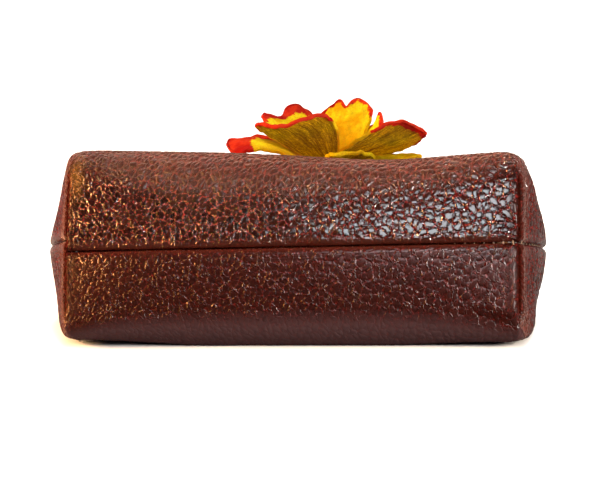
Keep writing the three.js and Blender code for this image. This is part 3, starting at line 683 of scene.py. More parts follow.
def grown(piece, tree, values):
    """The piece with a plain mesh, as the node tree makes it from the piece's mesh and the named values."""
    modifier = piece.modifiers.new(tree.name, "NODES")
    modifier.node_group = tree
    for socket in tree.interface.items_tree:
        if socket.in_out == "INPUT" and socket.name in values:
            modifier[socket.identifier] = values[socket.name]
    shapes = bpy.context.evaluated_depsgraph_get()
    made = bpy.data.meshes.new_from_object(
        piece.evaluated_get(shapes), preserve_all_data_layers=True, depsgraph=shapes)
    start = piece.data
    piece.modifiers.remove(modifier)
    piece.data = made
    bpy.data.meshes.remove(start)
    made.name = piece.name
    return piece


def pouch_half(name, sheet, outside, inside, relief):
    """One half of the pouch as a closed wall of leather, with marks on it for its relief and its finish."""
    fine, coarse = sheet_faces(sheet.grids, 1), sheet_faces(sheet.grids, 2)
    used = np.zeros(sheet.count, bool)
    used[[c for f in fine for c in f]] = True
    new = (np.cumsum(used) - 1).tolist()
    fine, coarse = ([[new[c] for c in f] for f in faces] for faces in (fine, coarse))
    points, flat_map = sheet.points[used], sheet.flat_map[used]
    marks = {label: values[used] for label, values in sheet.marks.items()}
    solid, back, rim, kept = thicken(points, fine, coarse, lerp(LEATHER, LIP_LEATHER, marks.pop("thin")))
    across, up = flat_map.T
    worn = 0 if sheet.is_front else WORN_LEAST + WORN_MORE * smooth(*WORN_SETS_IN, up - up.min())
    marks["worn"] = worn * (1 - marks["side"])
    marks["relief"] = (1 - marks["seam"]) * (1 - 0.6 * marks["worn"]) * (1 + 0.5 * marks["side"])
    marks["relief"] *= 1 - smooth(*RELIEF_FADES, points[:, 1])
    # Where a gold highlight is painted on, at the left end of the front's base.
    highlight_across, highlight_up = HIGHLIGHT_REACH
    highlight_at = across[(marks["side"] == 0) & (up < 0)].min() + HIGHLIGHT_FROM_END
    marks["tan"] = nearness(across - highlight_at, highlight_across) * nearness(up + highlight_up, highlight_up) * sheet.is_front
    marks = {
        label: np.concatenate([values, values[kept] * (label != "relief")])
        for label, values in marks.items()
    }
    piece = mesh_piece(
        name, place(solid), fine + back + rim,
        material_of=[0] * len(fine) + [1] * (len(back) + len(rim)),
        materials=(outside, inside),
        floats=marks,
        flat_map=np.concatenate([flat_map, flat_map[kept]]) * MM,
    )
    return grown(piece, relief, {
        "Pitch mm": GRAIN_PITCH, "Fan": GRAIN_FAN, "Relief mm": GRAIN_RELIEF,
        "Outside": outside, "Inside": inside,
    })


# Thread: where the base seam starts to show it and gapes, and where the side seam closes over it.
THREAD_FROM_X = 46.0
BASE_GAPES = (51, 62)
SIDE_CLOSES = (2, 14)
STITCHES = {"Pitch mm": 2.6, "Stitch mm": 1.7, "Thread mm": 0.45, "Tilt": 0.6, "Seed": 4}

# Metal mouth and flower, from the same sizes as their solids.
FRAME_WALL = 0.8
FRAME_THICK = 3.9
FRAME_INNER_T = 0.25
FRAME_EDGE_RADIUS, FRAME_EDGE_STEPS = 0.35, 3
LUG_RADIUS = 3.6
LUG_THICK = 1.2
LUG_INSET = 0.3  # from the faces of the arm that it runs up into
LUG_BEVEL = 0.2
OUTER_LUG_X = 63.7
INNER_LUG_X = 62.2
RIVET_RADIUS = 1.2
RIVET_HEAD_RADIUS = 2.5
RIVET_HEAD = 0.9
RIVET_HOLE_RADIUS = 1.5
BALL_RADIUS = 4.4
BALL_X = 4.55
BALL_H = 109.4
BALL_CROSSING_T = 0.8
NECK_RADIUS = 1.7

FLOWER_X = 11.5
FLOWER_H = 35.0
PETAL_LEATHER = 1.1
LAYER_GAP = 0.5
BLOSSOM_GAP = 1.2
DISC_RADIUS = 5.0
STUD_RADIUS = 1.5
STUD_HEAD_RADIUS = 3.2
STUD_HEAD = 1.6
STUD_WASHER_RADIUS = 4.0
STUD_WASHER = 1.0
STUD_GAP = 0.5  # between the stud and the leather that it holds
PETAL_LENGTH_STEPS = 44
PETAL_WIDTH_STEPS = 36
SOLID_PETAL_STEPS = 7  # a petal climbs as its solid does, half a step of it ahead
PETAL_RISES = (0.12, 0.34)  # shares of the length over which it turns up
RIM_TURNS = (60, 30, 0, -30, -60)  # degrees round a petal's rim
UNPAINTED = 9.0  # how far any plain leather counts as being from the paint
# One row for each petal: azimuth, length, width, rise, curl, cup, roll, ruffle, phase, notch.
UPPER_PETALS = (
    (244, 35, 23, 25, -35, -1.2, 0.3, 1.7, -1.6, 0),
    (324, 33, 21, 7, 13, -2.2, 0, 2.4, 4.4, 0),
    (20, 24, 17, 35, 28, 1.5, 0.8, 1.7, 3.2, 1.5),
    (65, 30, 18, 61, 6, 2, 0, 1, 1.6, 4),
    (136, 31.5, 19.5, 53, -4, -1.4, -2, 2.6, 3.8, 4),
)
LOWER_PETALS = (
    (162, 35, 17.5, 41, -50, 1.1, -5, 1.6, 1.6, 0),
    (303, 18, 17, 2, -3, 0, 0, 0.4, 1.5, 0),
    (348, 28, 18, 11, -14, -0.5, 2.8, 0.5, 3, 0),
    (50, 28, 21, 9, -8, -1, 0, 1, 4.2, 0),
    (117, 28, 21, 9, -8, -1, 0, 1, 5.4, 0),
)
# How far the red paint reaches in from each petal's tip, in the same order; 0 is plain.
UPPER_PAINT = (1.5, 2.4, 1.2, 1.4, 4.0)
LOWER_PAINT = (8.0, 0, 0, 1.5, 1.5)


def petal_surface(row, paint):
    """Middle face of one petal as a grid of points in the flower's own axes.

    Also gives each point's way along and across the petal, and how far it is past the paint."""
    azimuth, length, width, rise, curl, cup, roll, ruffle, phase, notch = row
    s = np.linspace(0, 1, PETAL_LENGTH_STEPS + 1)
    a = np.sin(np.linspace(-0.5, 0.5, PETAL_WIDTH_STEPS + 1) * 2.6) / math.sin(1.3)
    ahead = s[1:] + 0.5 / SOLID_PETAL_STEPS - 0.5 / PETAL_LENGTH_STEPS
    climb = np.radians(rise + curl * ahead**2) * smooth(*PETAL_RISES, ahead)
    step = length / PETAL_LENGTH_STEPS
    out = np.concatenate([[0], np.cumsum(step * np.cos(climb))])[:, None]
    up = np.concatenate([[0], np.cumsum(step * np.sin(climb))])[:, None]
    s, a = s[:, None], a[None, :]
    slope = np.radians(rise + curl * s**2) * smooth(*PETAL_RISES, s)
    broad = (width / 2) * np.sin(math.pi * (0.07 + 0.48 * s))
    tip_round = 0.2 * length * a**2 * s**2 + notch * s**4 * nearness(a, 0.2)
    lift = (cup * a**2 + roll * a) * s**1.5 + ruffle * s**2 * np.sin(3 * a + phase)
    lift = lift + 0.16 * s * np.sin(13 * a + 2 * phase) * (1 - 0.4 * a**2)
    lift = lift + 0.1 * s**2 * np.sin(23 * a - phase)
    crumple = 0.16 * np.sin(41 * s + 8 * a + 2 * phase) * np.sin(10 * a - 15 * s + phase)
    crumple = crumple + 0.11 * np.sin(29 * s - 13 * a + phase)
    lift = lift + crumple * smooth(0.15, 0.45, s)
    radial = out - tip_round * np.cos(slope) - lift * np.sin(slope)
    height = up - tip_round * np.sin(slope) + lift * np.cos(slope)
    sideways = broad * a
    way = math.radians(azimuth)
    points = np.stack([
        radial * math.cos(way) - sideways * math.sin(way),
        radial * math.sin(way) + sideways * math.cos(way),
        height,
    ], -1)
    to_tip = (1 - s) * length - paint + 0 * a
    to_side = (1 - np.abs(a)) * broad - 1 + 7 * (1 - smooth(0.62, 0.9, s))
    past_paint = np.minimum(to_tip, to_side) if paint else UNPAINTED + 0 * to_tip
    return points, s + 0 * a, a + 0 * s, past_paint


def grid_faces(ids):
    return np.stack([ids[:-1, :-1], ids[1:, :-1], ids[1:, 1:], ids[:-1, 1:]], -1).reshape(-1, 4).tolist()


def petal_wall(row, paint, number):
    """One petal as a closed wall with a rounded rim: points, faces, their sides and values for the finish."""
    points, s, a, past_paint = petal_surface(row, paint)
    flat = points.reshape(-1, 3)
    ids = np.arange(len(flat)).reshape(s.shape)
    faces = grid_faces(ids)
    normals = vertex_normals(flat, faces)
    count = len(flat)
    half = PETAL_LEATHER / 2
    upper, lower = flat + normals * half, flat - normals * half
    loop = np.concatenate([ids[0, :-1], ids[:-1, -1], ids[-1, :0:-1], ids[:0:-1, 0]])
    inner = np.concatenate([ids[1, :-1], ids[:-1, -2], ids[-2, :0:-1], ids[:0:-1, 1]])
    outward = flat[loop] - flat[inner]
    outward -= (outward * normals[loop]).sum(-1, keepdims=True) * normals[loop]
    outward /= np.maximum(1e-9, np.linalg.norm(outward, axis=1, keepdims=True))
    rings = [loop]
    extra = []
    for angle in np.radians(RIM_TURNS):
        extra.append(
            flat[loop] + normals[loop] * half * math.sin(angle) + outward * half * 0.9 * math.cos(angle))
        rings.append(2 * count + (len(extra) - 1) * len(loop) + np.arange(len(loop)))
    rings.append(loop + count)
    wall = faces + [[c + count for c in reversed(f)] for f in faces]
    sides = [0] * len(faces) + [1] * len(faces)
    for above, below in zip(rings[:-1], rings[1:]):
        band = np.stack([above, below, np.roll(below, -1), np.roll(above, -1)], -1)
        wall += band.tolist()
        sides += [0] * len(band)
    values = {"along": s, "across": a, "past_paint": past_paint, "petal": np.full(s.shape, float(number))}
    values = {label: np.concatenate([v.reshape(-1)] * 2 + [v.reshape(-1)[loop]] * len(extra))
              for label, v in values.items()}
    return np.concatenate([upper, lower] + extra), wall, sides, values


def turned(profile, steps=32):
    """Points and faces of a round piece from its half outline of (radius, height), closed at both ends."""
    points, rings = [], []
    for radius, height in profile:
        if radius == 0:
            rings.append([len(points)])
            points.append((0, 0, height))
        else:
            rings.append(list(range(len(points), len(points) + steps)))
            ways = [2 * math.pi * i / steps for i in range(steps)]
            points += [(radius * math.cos(way), radius * math.sin(way), height) for way in ways]
    faces = []
    for low, high in zip(rings[:-1], rings[1:]):
        for i in range(steps):
            j = (i + 1) % steps
            quad = [low[i % len(low)], low[j % len(low)], high[j % len(high)], high[i % len(high)]]
            faces.append([c for k, c in enumerate(quad) if c not in quad[:k]])
    return np.array(points, float), faces


def face_depth(x, h):
    half_x, half_t, _ = section_outline(h, True)
    sway = float(column("sway", h))
    return float(np.interp(-abs(x - sway), half_x, half_t)) - float(dent_depth(x, h))


def flower_place(lift):
    """Turns points of the flower, raised by lift, into the purse's own axes."""
    tilt = math.atan((face_depth(FLOWER_X, FLOWER_H + 2) - face_depth(FLOWER_X, FLOWER_H - 2)) / 4)
    seat = np.array([FLOWER_X, FLOWER_H, face_depth(FLOWER_X, FLOWER_H)])
    turn = np.array([[1, 0, 0], [0, math.cos(tilt), -math.sin(tilt)], [0, math.sin(tilt), math.cos(tilt)]])
    return lambda points: (np.asarray(points, float) + (0, 0, lift)) @ turn.T + seat


LOWER_LIFT = LAYER_GAP + PETAL_LEATHER / 2
UPPER_LIFT = LOWER_LIFT + BLOSSOM_GAP + PETAL_LEATHER


def blossom(name, rows, paints, lift, materials):
    """Five petals and the disc that joins them."""
    half = PETAL_LEATHER / 2
    disc_profile = [
        (0, -half), (DISC_RADIUS - 0.2, -half), (DISC_RADIUS, 0), (DISC_RADIUS - 0.2, half), (0, half)]
    points, faces = turned(disc_profile)
    sides = [0 if points[f].mean(0)[2] > 0 else 1 for f in faces]
    values = {"along": 0.0, "across": 0.0, "past_paint": UNPAINTED, "petal": 0.0}
    values = {label: np.full(len(points), value) for label, value in values.items()}
    for number, (row, paint) in enumerate(zip(rows, paints)):
        more, wall, wall_sides, more_values = petal_wall(row, paint, number + 1)
        faces = faces + [[c + len(points) for c in f] for f in wall]
        sides = sides + wall_sides
        points = np.concatenate([points, more])
        values = {k: np.concatenate([values[k], more_values[k]]) for k in values}
    return mesh_piece(name, place(flower_place(lift)(points)), faces, sides, materials, values)


def frame_lines():
    """Outer edge of the mouth and the section of its channel, both as x and y."""
    straight_top, straight_x = FRAME_TOP_H - FRAME_CORNER, FRAME_HALF_WIDTH - FRAME_CORNER
    turn = np.radians(np.linspace(180, 90, 13))
    left_x = FRAME_CORNER * np.cos(turn) - straight_x
    left_h = FRAME_CORNER * np.sin(turn) + straight_top
    edge = np.concatenate([[(-FRAME_HALF_WIDTH, ARM_END_H)], np.stack([left_x, left_h], -1)])
    edge = np.concatenate([edge, edge[::-1] * (-1, 1)])
    near, far = FRAME_INNER_T, FRAME_INNER_T + FRAME_THICK
    section = np.array([
        (0, near), (0, far), (FRAME_BAND, far), (FRAME_BAND, far - FRAME_WALL),
        (FRAME_WALL, far - FRAME_WALL), (FRAME_WALL, near + FRAME_WALL),
        (FRAME_BAND, near + FRAME_WALL), (FRAME_BAND, near),
    ])
    return edge, section


def swept_channel():
    """Sweeps the section along the edge line and rounds its edges."""
    tree, given, result = new_tree(
        "swept_channel", "GeometryNodeTree",
        [("Lines", "NodeSocketGeometry"), ("Edge radius mm", "NodeSocketFloat"),
         ("Edge steps", "NodeSocketInt"), ("Finish", "NodeSocketMaterial")],
        [("Channel", "NodeSocketGeometry")],
    )
    chosen = {"Geometry": given["Lines"], "Selection": named_value(tree, "is_section")}
    lines = add_node(tree, "GeometryNodeSeparateGeometry", chosen, domain="POINT").outputs
    section, edge = (add_node(tree, "GeometryNodeMeshToCurve", {"Mesh": line}).outputs[0] for line in lines)
    rounding = {"Curve": section, "Radius": given["Edge radius mm"], "Count": given["Edge steps"]}
    section = add_node(tree, "GeometryNodeFilletCurve", rounding, mode="POLY").outputs[0]
    edge = add_node(tree, "GeometryNodeSetCurveNormal", {"Curve": edge}, mode="Z_UP").outputs[0]
    sweep = {"Curve": edge, "Profile Curve": section, "Fill Caps": True}
    swept = add_node(tree, "GeometryNodeCurveToMesh", sweep).outputs[0]
    ends_in(tree, swept, given["Finish"], result)
    return tree


def lines_piece(name, lines, closed, floats):
    """A piece of bare lines, each through its own points."""
    points = np.concatenate(lines)
    edges, start = [], 0
    for line, is_closed in zip(lines, closed):
        ids = list(range(start, start + len(line)))
        edges += list(zip(ids[:-1], ids[1:])) + ([(ids[-1], ids[0])] if is_closed else [])
        start += len(line)
    mesh = bpy.data.meshes.new(name)
    mesh.from_pydata(points.tolist(), edges, [])
    set_floats(mesh, floats)
    return linked(name, mesh)


def hinge_lug(at_x):
    """Eye round the rivet that runs up into the end of an arm: points and faces."""
    low, high = FRAME_INNER_T + LUG_INSET, FRAME_INNER_T + FRAME_THICK - LUG_INSET
    reach = ARM_END_H + 1 - HINGE_H
    turn = np.radians(np.linspace(90, 300, 29))
    eye = LUG_RADIUS * np.stack([np.cos(turn), np.sin(turn)], -1)
    eye[-1] = (eye[-2] + eye[-1]) / 2
    outline = np.concatenate([eye, [(reach, low), (reach, high), (0, high)]])
    unit = outline / np.linalg.norm(outline, axis=1, keepdims=True)
    hole, bevelled = unit * RIVET_HOLE_RADIUS, outline - unit * LUG_BEVEL
    rings = [(hole, 0), (bevelled, 0), (outline, LUG_BEVEL), (outline, LUG_THICK - LUG_BEVEL),
             (bevelled, LUG_THICK), (hole, LUG_THICK)]
    count = len(outline)
    points = np.concatenate([
        np.stack([np.full(count, at_x + deep), HINGE_H + ring[:, 0], ring[:, 1]], -1) for ring, deep in rings
    ])
    ids = np.arange(len(points)).reshape(len(rings), count)
    ids = np.concatenate([ids, ids[:1]])
    ids = np.concatenate([ids, ids[:, :1]], axis=1)
    return points, grid_faces(ids)


def turned_between(profile, foot, top):
    """A turned piece stood on the line from foot to top."""
    points, faces = turned(profile)
    turn = np.array((Vector(top) - Vector(foot)).to_track_quat("Z", "Y").to_matrix())
    return points @ turn.T + np.array(foot), faces


def kiss_ball():
    foot = (-BALL_X, FRAME_TOP_H - FRAME_WALL / 2, FRAME_INNER_T + FRAME_THICK / 2)
    centre = (-BALL_X, BALL_H, -BALL_CROSSING_T)
    reach = (Vector(centre) - Vector(foot)).length
    start = math.pi - math.asin((NECK_RADIUS + 0.25) / BALL_RADIUS)
    ball = [(BALL_RADIUS * math.sin(a), reach + BALL_RADIUS * math.cos(a))
            for a in np.linspace(start, 0, 26)[:-1]]
    neck_top = ball[0][1]
    neck = [(0, 0), (NECK_RADIUS + 0.15, 0), (NECK_RADIUS + 0.15, 0.5), (NECK_RADIUS, 0.9),
            (NECK_RADIUS, neck_top - 0.35), (NECK_RADIUS + 0.06, neck_top - 0.12)]
    return turned_between(neck + ball + [(0, reach + BALL_RADIUS)], foot, centre)


def joined(parts):
    points, faces = [], []
    for more, more_faces in parts:
        start = sum(len(p) for p in points)
        points.append(np.asarray(more, float))
        faces += [[c + start for c in f] for f in more_faces]
    return np.concatenate(points), faces


def mesh_parts(piece):
    """Points and faces of a piece's mesh."""
    points = np.zeros(len(piece.data.vertices) * 3)
    piece.data.vertices.foreach_get("co", points)
    return points.reshape(-1, 3), [list(f.vertices) for f in piece.data.polygons]


def mouth_half(name, is_front, finish, sweep):
    """One half of the mouth: a channel, two hinge lugs and a ball on its neck."""
    edge, section = frame_lines()
    edge, section = (np.concatenate([line, np.zeros((len(line), 1))], axis=1) for line in (edge, section))
    is_section = [0] * len(edge) + [1] * len(section)
    lines = lines_piece(name + "_lines", (edge, section), (False, True), {"is_section": is_section})
    channel = grown(lines, sweep, {
        "Edge radius mm": FRAME_EDGE_RADIUS, "Edge steps": FRAME_EDGE_STEPS, "Finish": finish,
    })
    lug_x = OUTER_LUG_X if is_front else INNER_LUG_X
    parts = [mesh_parts(channel), hinge_lug(lug_x), hinge_lug(-lug_x - LUG_THICK), kiss_ball()]
    bpy.data.objects.remove(channel)
    points, faces = joined(parts)
    if not is_front:
        points = points * (-1, 1, -1)
    return metal_piece(name, points, faces, finish)


def metal_piece(name, points, faces, finish):
    piece = mesh_piece(name, place(points), faces, materials=(finish,))
    piece.data.set_sharp_from_angle(angle=math.radians(40))
    return piece


def dome(radius, low, height, steps=7):
    turns = np.linspace(0, math.pi / 2, steps)[:-1]
    return [(radius * math.cos(a), low + height * math.sin(a)) for a in turns] + [(0, low + height)]


def hinge_rivets(name, finish):
    head_start = OUTER_LUG_X + LUG_THICK + 0.3
    profile = [(0, INNER_LUG_X), (RIVET_RADIUS, INNER_LUG_X), (RIVET_RADIUS, head_start)]
    profile += dome(RIVET_HEAD_RADIUS, head_start, RIVET_HEAD)
    parts = [turned_between(profile, (0, HINGE_H, 0), (side, HINGE_H, 0)) for side in (-1, 1)]
    return metal_piece(name, *joined(parts), finish)


def flower_stud(name, finish):
    washer_high = -(LEATHER + STUD_GAP)
    head_low = UPPER_LIFT + PETAL_LEATHER / 2 + STUD_GAP
    profile = [(0, washer_high - STUD_WASHER), (STUD_WASHER_RADIUS, washer_high - STUD_WASHER),
               (STUD_WASHER_RADIUS, washer_high), (STUD_RADIUS, washer_high), (STUD_RADIUS, head_low)]
    profile += dome(STUD_HEAD_RADIUS, head_low, STUD_HEAD)
    points, faces = turned(profile)
    return metal_piece(name, flower_place(0)(points), faces, finish)


def seam_stitches():
    """Short stitches of thread across a seam, one at every pitch along its line."""
    tree, given, result = new_tree(
        "seam_stitches", "GeometryNodeTree",
        [("Lines", "NodeSocketGeometry"), ("Pitch mm", "NodeSocketFloat"), ("Stitch mm", "NodeSocketFloat"),
         ("Thread mm", "NodeSocketFloat"), ("Tilt", "NodeSocketFloat"), ("Seed", "NodeSocketInt"),
         ("Finish", "NodeSocketMaterial")],
        [("Stitches", "NodeSocketGeometry")],
    )
    line = add_node(tree, "GeometryNodeMeshToCurve", {"Mesh": given["Lines"]}).outputs[0]
    spaced = {"Curve": line, "Length": given["Pitch mm"]}
    line = add_node(tree, "GeometryNodeCurveToPoints", spaced, mode="LENGTH")
    half = calc(tree, "MULTIPLY", given["Stitch mm"], 0.5)
    start = add_node(tree, "ShaderNodeCombineXYZ", {2: calc(tree, "MULTIPLY", half, -1.0)}).outputs[0]
    end = add_node(tree, "ShaderNodeCombineXYZ", {2: half}).outputs[0]
    strand = add_node(tree, "GeometryNodeCurvePrimitiveLine", {"Start": start, "End": end}).outputs[0]
    strand = add_node(tree, "GeometryNodeResampleCurve", {"Curve": strand, "Count": 4}).outputs[0]
    radius = calc(tree, "MULTIPLY", given["Thread mm"], 0.5)
    circle = {"Resolution": 7, "Radius": radius}
    round_section = add_node(tree, "GeometryNodeCurvePrimitiveCircle", circle).outputs[0]
    sweep = {"Curve": strand, "Profile Curve": round_section, "Fill Caps": True}
    stitch = add_node(tree, "GeometryNodeCurveToMesh", sweep).outputs[0]
    least, most = (scaled(tree, turn, given["Tilt"]) for turn in ((-0.4, -0.4, 1.0), (0.4, 0.4, 1.6)))
    turn = add_node(tree, "FunctionNodeRandomValue",
                    {0: least, 1: most, "Seed": given["Seed"]}, data_type="FLOAT_VECTOR").outputs[0]
    placed = add_node(tree, "GeometryNodeInstanceOnPoints",
                      {"Points": line.outputs[0], "Instance": stitch, "Rotation": turn}).outputs[0]
    ends_in(tree, placed, given["Finish"], result)
    return tree


def seam_thread(name, sheet, finish):
    """The thread of the base and side seams where they gape, at the right end of the base."""
    base, right = sheet.base_seam[sheet.base_seam[:, 0] > THREAD_FROM_X], sheet.right_seam
    gapes = smooth(*BASE_GAPES, base[:, 0])
    base = base - np.stack([0 * gapes, lerp(-1.7, 0.9, gapes), 0 * gapes + TOUCH], -1)
    closes = smooth(*SIDE_CLOSES, right[:, 1])
    right = right + np.stack([lerp(0.9, -0.4, closes), 0 * closes, 0 * closes - TOUCH], -1)
    lines = lines_piece(name, (base, right), (False, False), {})
    thread = grown(lines, seam_stitches(), {**STITCHES, "Finish": finish})
    thread.data.transform(LYING)
    thread.data.polygons.foreach_set("use_smooth", np.ones(len(thread.data.polygons), bool))
    return thread


# Colours of the finishes, as linear red, green and blue.
PEBBLE_DARK, PEBBLE_BROWN = (0.007, 0.0018, 0.0014), (0.024, 0.0042, 0.0022)
PEBBLE_RED = (0.05, 0.0062, 0.0034)
CREASE_DARK, CREASE_CRIMSON = (0.022, 0.0024, 0.0012), (0.17, 0.0095, 0.007)
# Painted light: the front's fold gets paler tops and creases where the light from above falls, and the back's
# fold gets bluish greys that stand for the floor's reflection.
ROLL_TOP_PAINTED_LIGHT, BOTTOM_TOP_PAINTED_REFLECTION = (0.15, 0.04, 0.021), (0.1, 0.075, 0.09)
ROLL_CREASE_PAINTED_HIGHLIGHT, BOTTOM_CREASE_PAINTED_REFLECTION = (0.2, 0.075, 0.05), (0.07, 0.05, 0.055)
RUBBED_SHEEN = (1, 0.72, 0.62, 1)
SEAM_ROLL_BROWN, SIDE_CLOUD_BROWN, PAINTED_GOLD_HIGHLIGHT = (0.17, 0.04, 0.024), (0.075, 0.0085, 0.004), (0.5, 0.2, 0.035)
GROOVE_PAINTED_SHADE = (0.008, 0.0016, 0.001)
FLESH_DARK, FLESH_TAN, FLESH_NAP = (0.12, 0.045, 0.025), (0.2, 0.085, 0.05), (0.07, 0.025, 0.015)
PETAL_YELLOW, PETAL_LEMON = (0.66, 0.35, 0.002), (0.82, 0.7, 0.012)
PETAL_OLIVE, PETAL_ORANGE = (0.42, 0.31, 0.004), (0.72, 0.28, 0.003)
SUEDE_MUSTARD, SUEDE_YELLOW, SUEDE_FIBRE = (0.24, 0.155, 0.001), (0.52, 0.39, 0.003), (0.85, 0.66, 0.015)
SUEDE_OLIVE, SUEDE_SHADE = (0.2, 0.16, 0.002), (0.15, 0.105, 0.001)
PAINT_DEEP, PAINT_RED = (0.38, 0.01, 0.005), (0.58, 0.038, 0.009)
BRASS_BRIGHT, BRASS_TARNISHED = (0.62, 0.42, 0.17), (0.3, 0.18, 0.065)
THREAD_BROWN, THREAD_LINEN = (0.12, 0.06, 0.035), (0.32, 0.2, 0.12)


def blend_colour(tree, share, first, second):
    first, second = ((*c, 1) if isinstance(c, tuple) else c for c in (first, second))
    made = add_node(tree, "ShaderNodeMix", data_type="RGBA")
    feed(tree, made, {0: share, 6: first, 7: second})
    return made.outputs[2]


def less(tree, value, by, share):
    """The value, lowered by a share where the mask lies."""
    return calc(tree, "MULTIPLY", value, calc(tree, "MULTIPLY_ADD", by, -share, 1.0))


def bumped(tree, height, strength, depth_mm):
    values = {"Strength": strength, "Distance": depth_mm * MM, "Height": height}
    return add_node(tree, "ShaderNodeBump", values).outputs["Normal"]


def mark(tree, name):
    return add_node(tree, "ShaderNodeAttribute", attribute_name=name).outputs["Fac"]


def object_place(tree):
    return add_node(tree, "ShaderNodeTexCoord").outputs["Object"]


def new_finish(name):
    """A new material with its node tree and its shader."""
    material = bpy.data.materials.new(name)
    material.use_nodes = True
    return material, material.node_tree, material.node_tree.nodes["Principled BSDF"]


def pebble_grain():
    """The grain seen close: pebbles that lean their own way, wrinkled creases and a tone for each pebble."""
    tree, given, result = new_tree(
        "pebble_grain", "ShaderNodeTree",
        [("Map", "NodeSocketVector"), ("Pitch mm", "NodeSocketFloat"), ("Fan", "NodeSocketFloat"),
         ("Plainness", "NodeSocketFloat"), ("Roundness", "NodeSocketFloat")],
        [("Height", "NodeSocketFloat"), ("Valley", "NodeSocketFloat"), ("Tone", "NodeSocketFloat"),
         ("Flecks", "NodeSocketFloat")],
    )
    cells, bent, cell, rounded = pebble_cells(tree, given["Map"], given["Pitch mm"], given["Fan"])
    top = step_between(tree, rounded, -0.03, 0.18)
    lean = vector_calc(tree, "SUBTRACT", cell["Color"], (0.5, 0.5, 0.5))
    off_middle = vector_calc(tree, "SUBTRACT", bent, cell["Position"])
    leaning = add_node(tree, "ShaderNodeVectorMath", {0: lean, 1: off_middle}, operation="DOT_PRODUCT")
    lean_by, rise_by = calc(tree, "MULTIPLY", top, 0.35), calc(tree, "MULTIPLY", top, 0.6)
    height = calc(tree, "MULTIPLY_ADD", leaning.outputs["Value"], lean_by, rise_by)
    slant = {"Vector": bent, "Rotation": (0.0, 0.0, math.radians(62)), "Scale": (0.7, 0.26, 1.0)}
    slanted = add_node(tree, "ShaderNodeMapping", slant, vector_type="TEXTURE").outputs[0]
    wrinkles = noise(tree, slanted, 1.0, 1.5, 0.6)
    patches = step_between(tree, noise(tree, cells, 0.9), 0.35, 0.62, 0.3, 2.8)
    wrinkled = less(tree, less(tree, patches, top, 0.95), given["Roundness"], 0.4)
    height = calc(tree, "MULTIPLY_ADD", wrinkles, wrinkled, height)
    pores = noise(tree, cells, 7.0, 2.0, 0.6)
    height = calc(tree, "MULTIPLY_ADD", pores, 0.015, height)
    swell = calc(tree, "MULTIPLY", given["Roundness"], 1.2)
    height = calc(tree, "MULTIPLY_ADD", step_between(tree, rounded, -0.05, 0.45), swell, height)
    valley = step_between(tree, rounded, -0.02, 0.13, 1.0, 0.0)
    flecks = step_between(tree, noise(tree, cells, 2.6, 2.0, 0.6), 0.44, 0.64)
    tone = add_node(tree, "ShaderNodeSeparateColor", {"Color": cell["Color"]}).outputs[0]
    height, valley = (less(tree, value, given["Plainness"], 0.85) for value in (height, valley))
    for label, value in {"Height": height, "Valley": valley, "Tone": tone, "Flecks": flecks}.items():
        tree.links.new(value, result[label])
    return tree


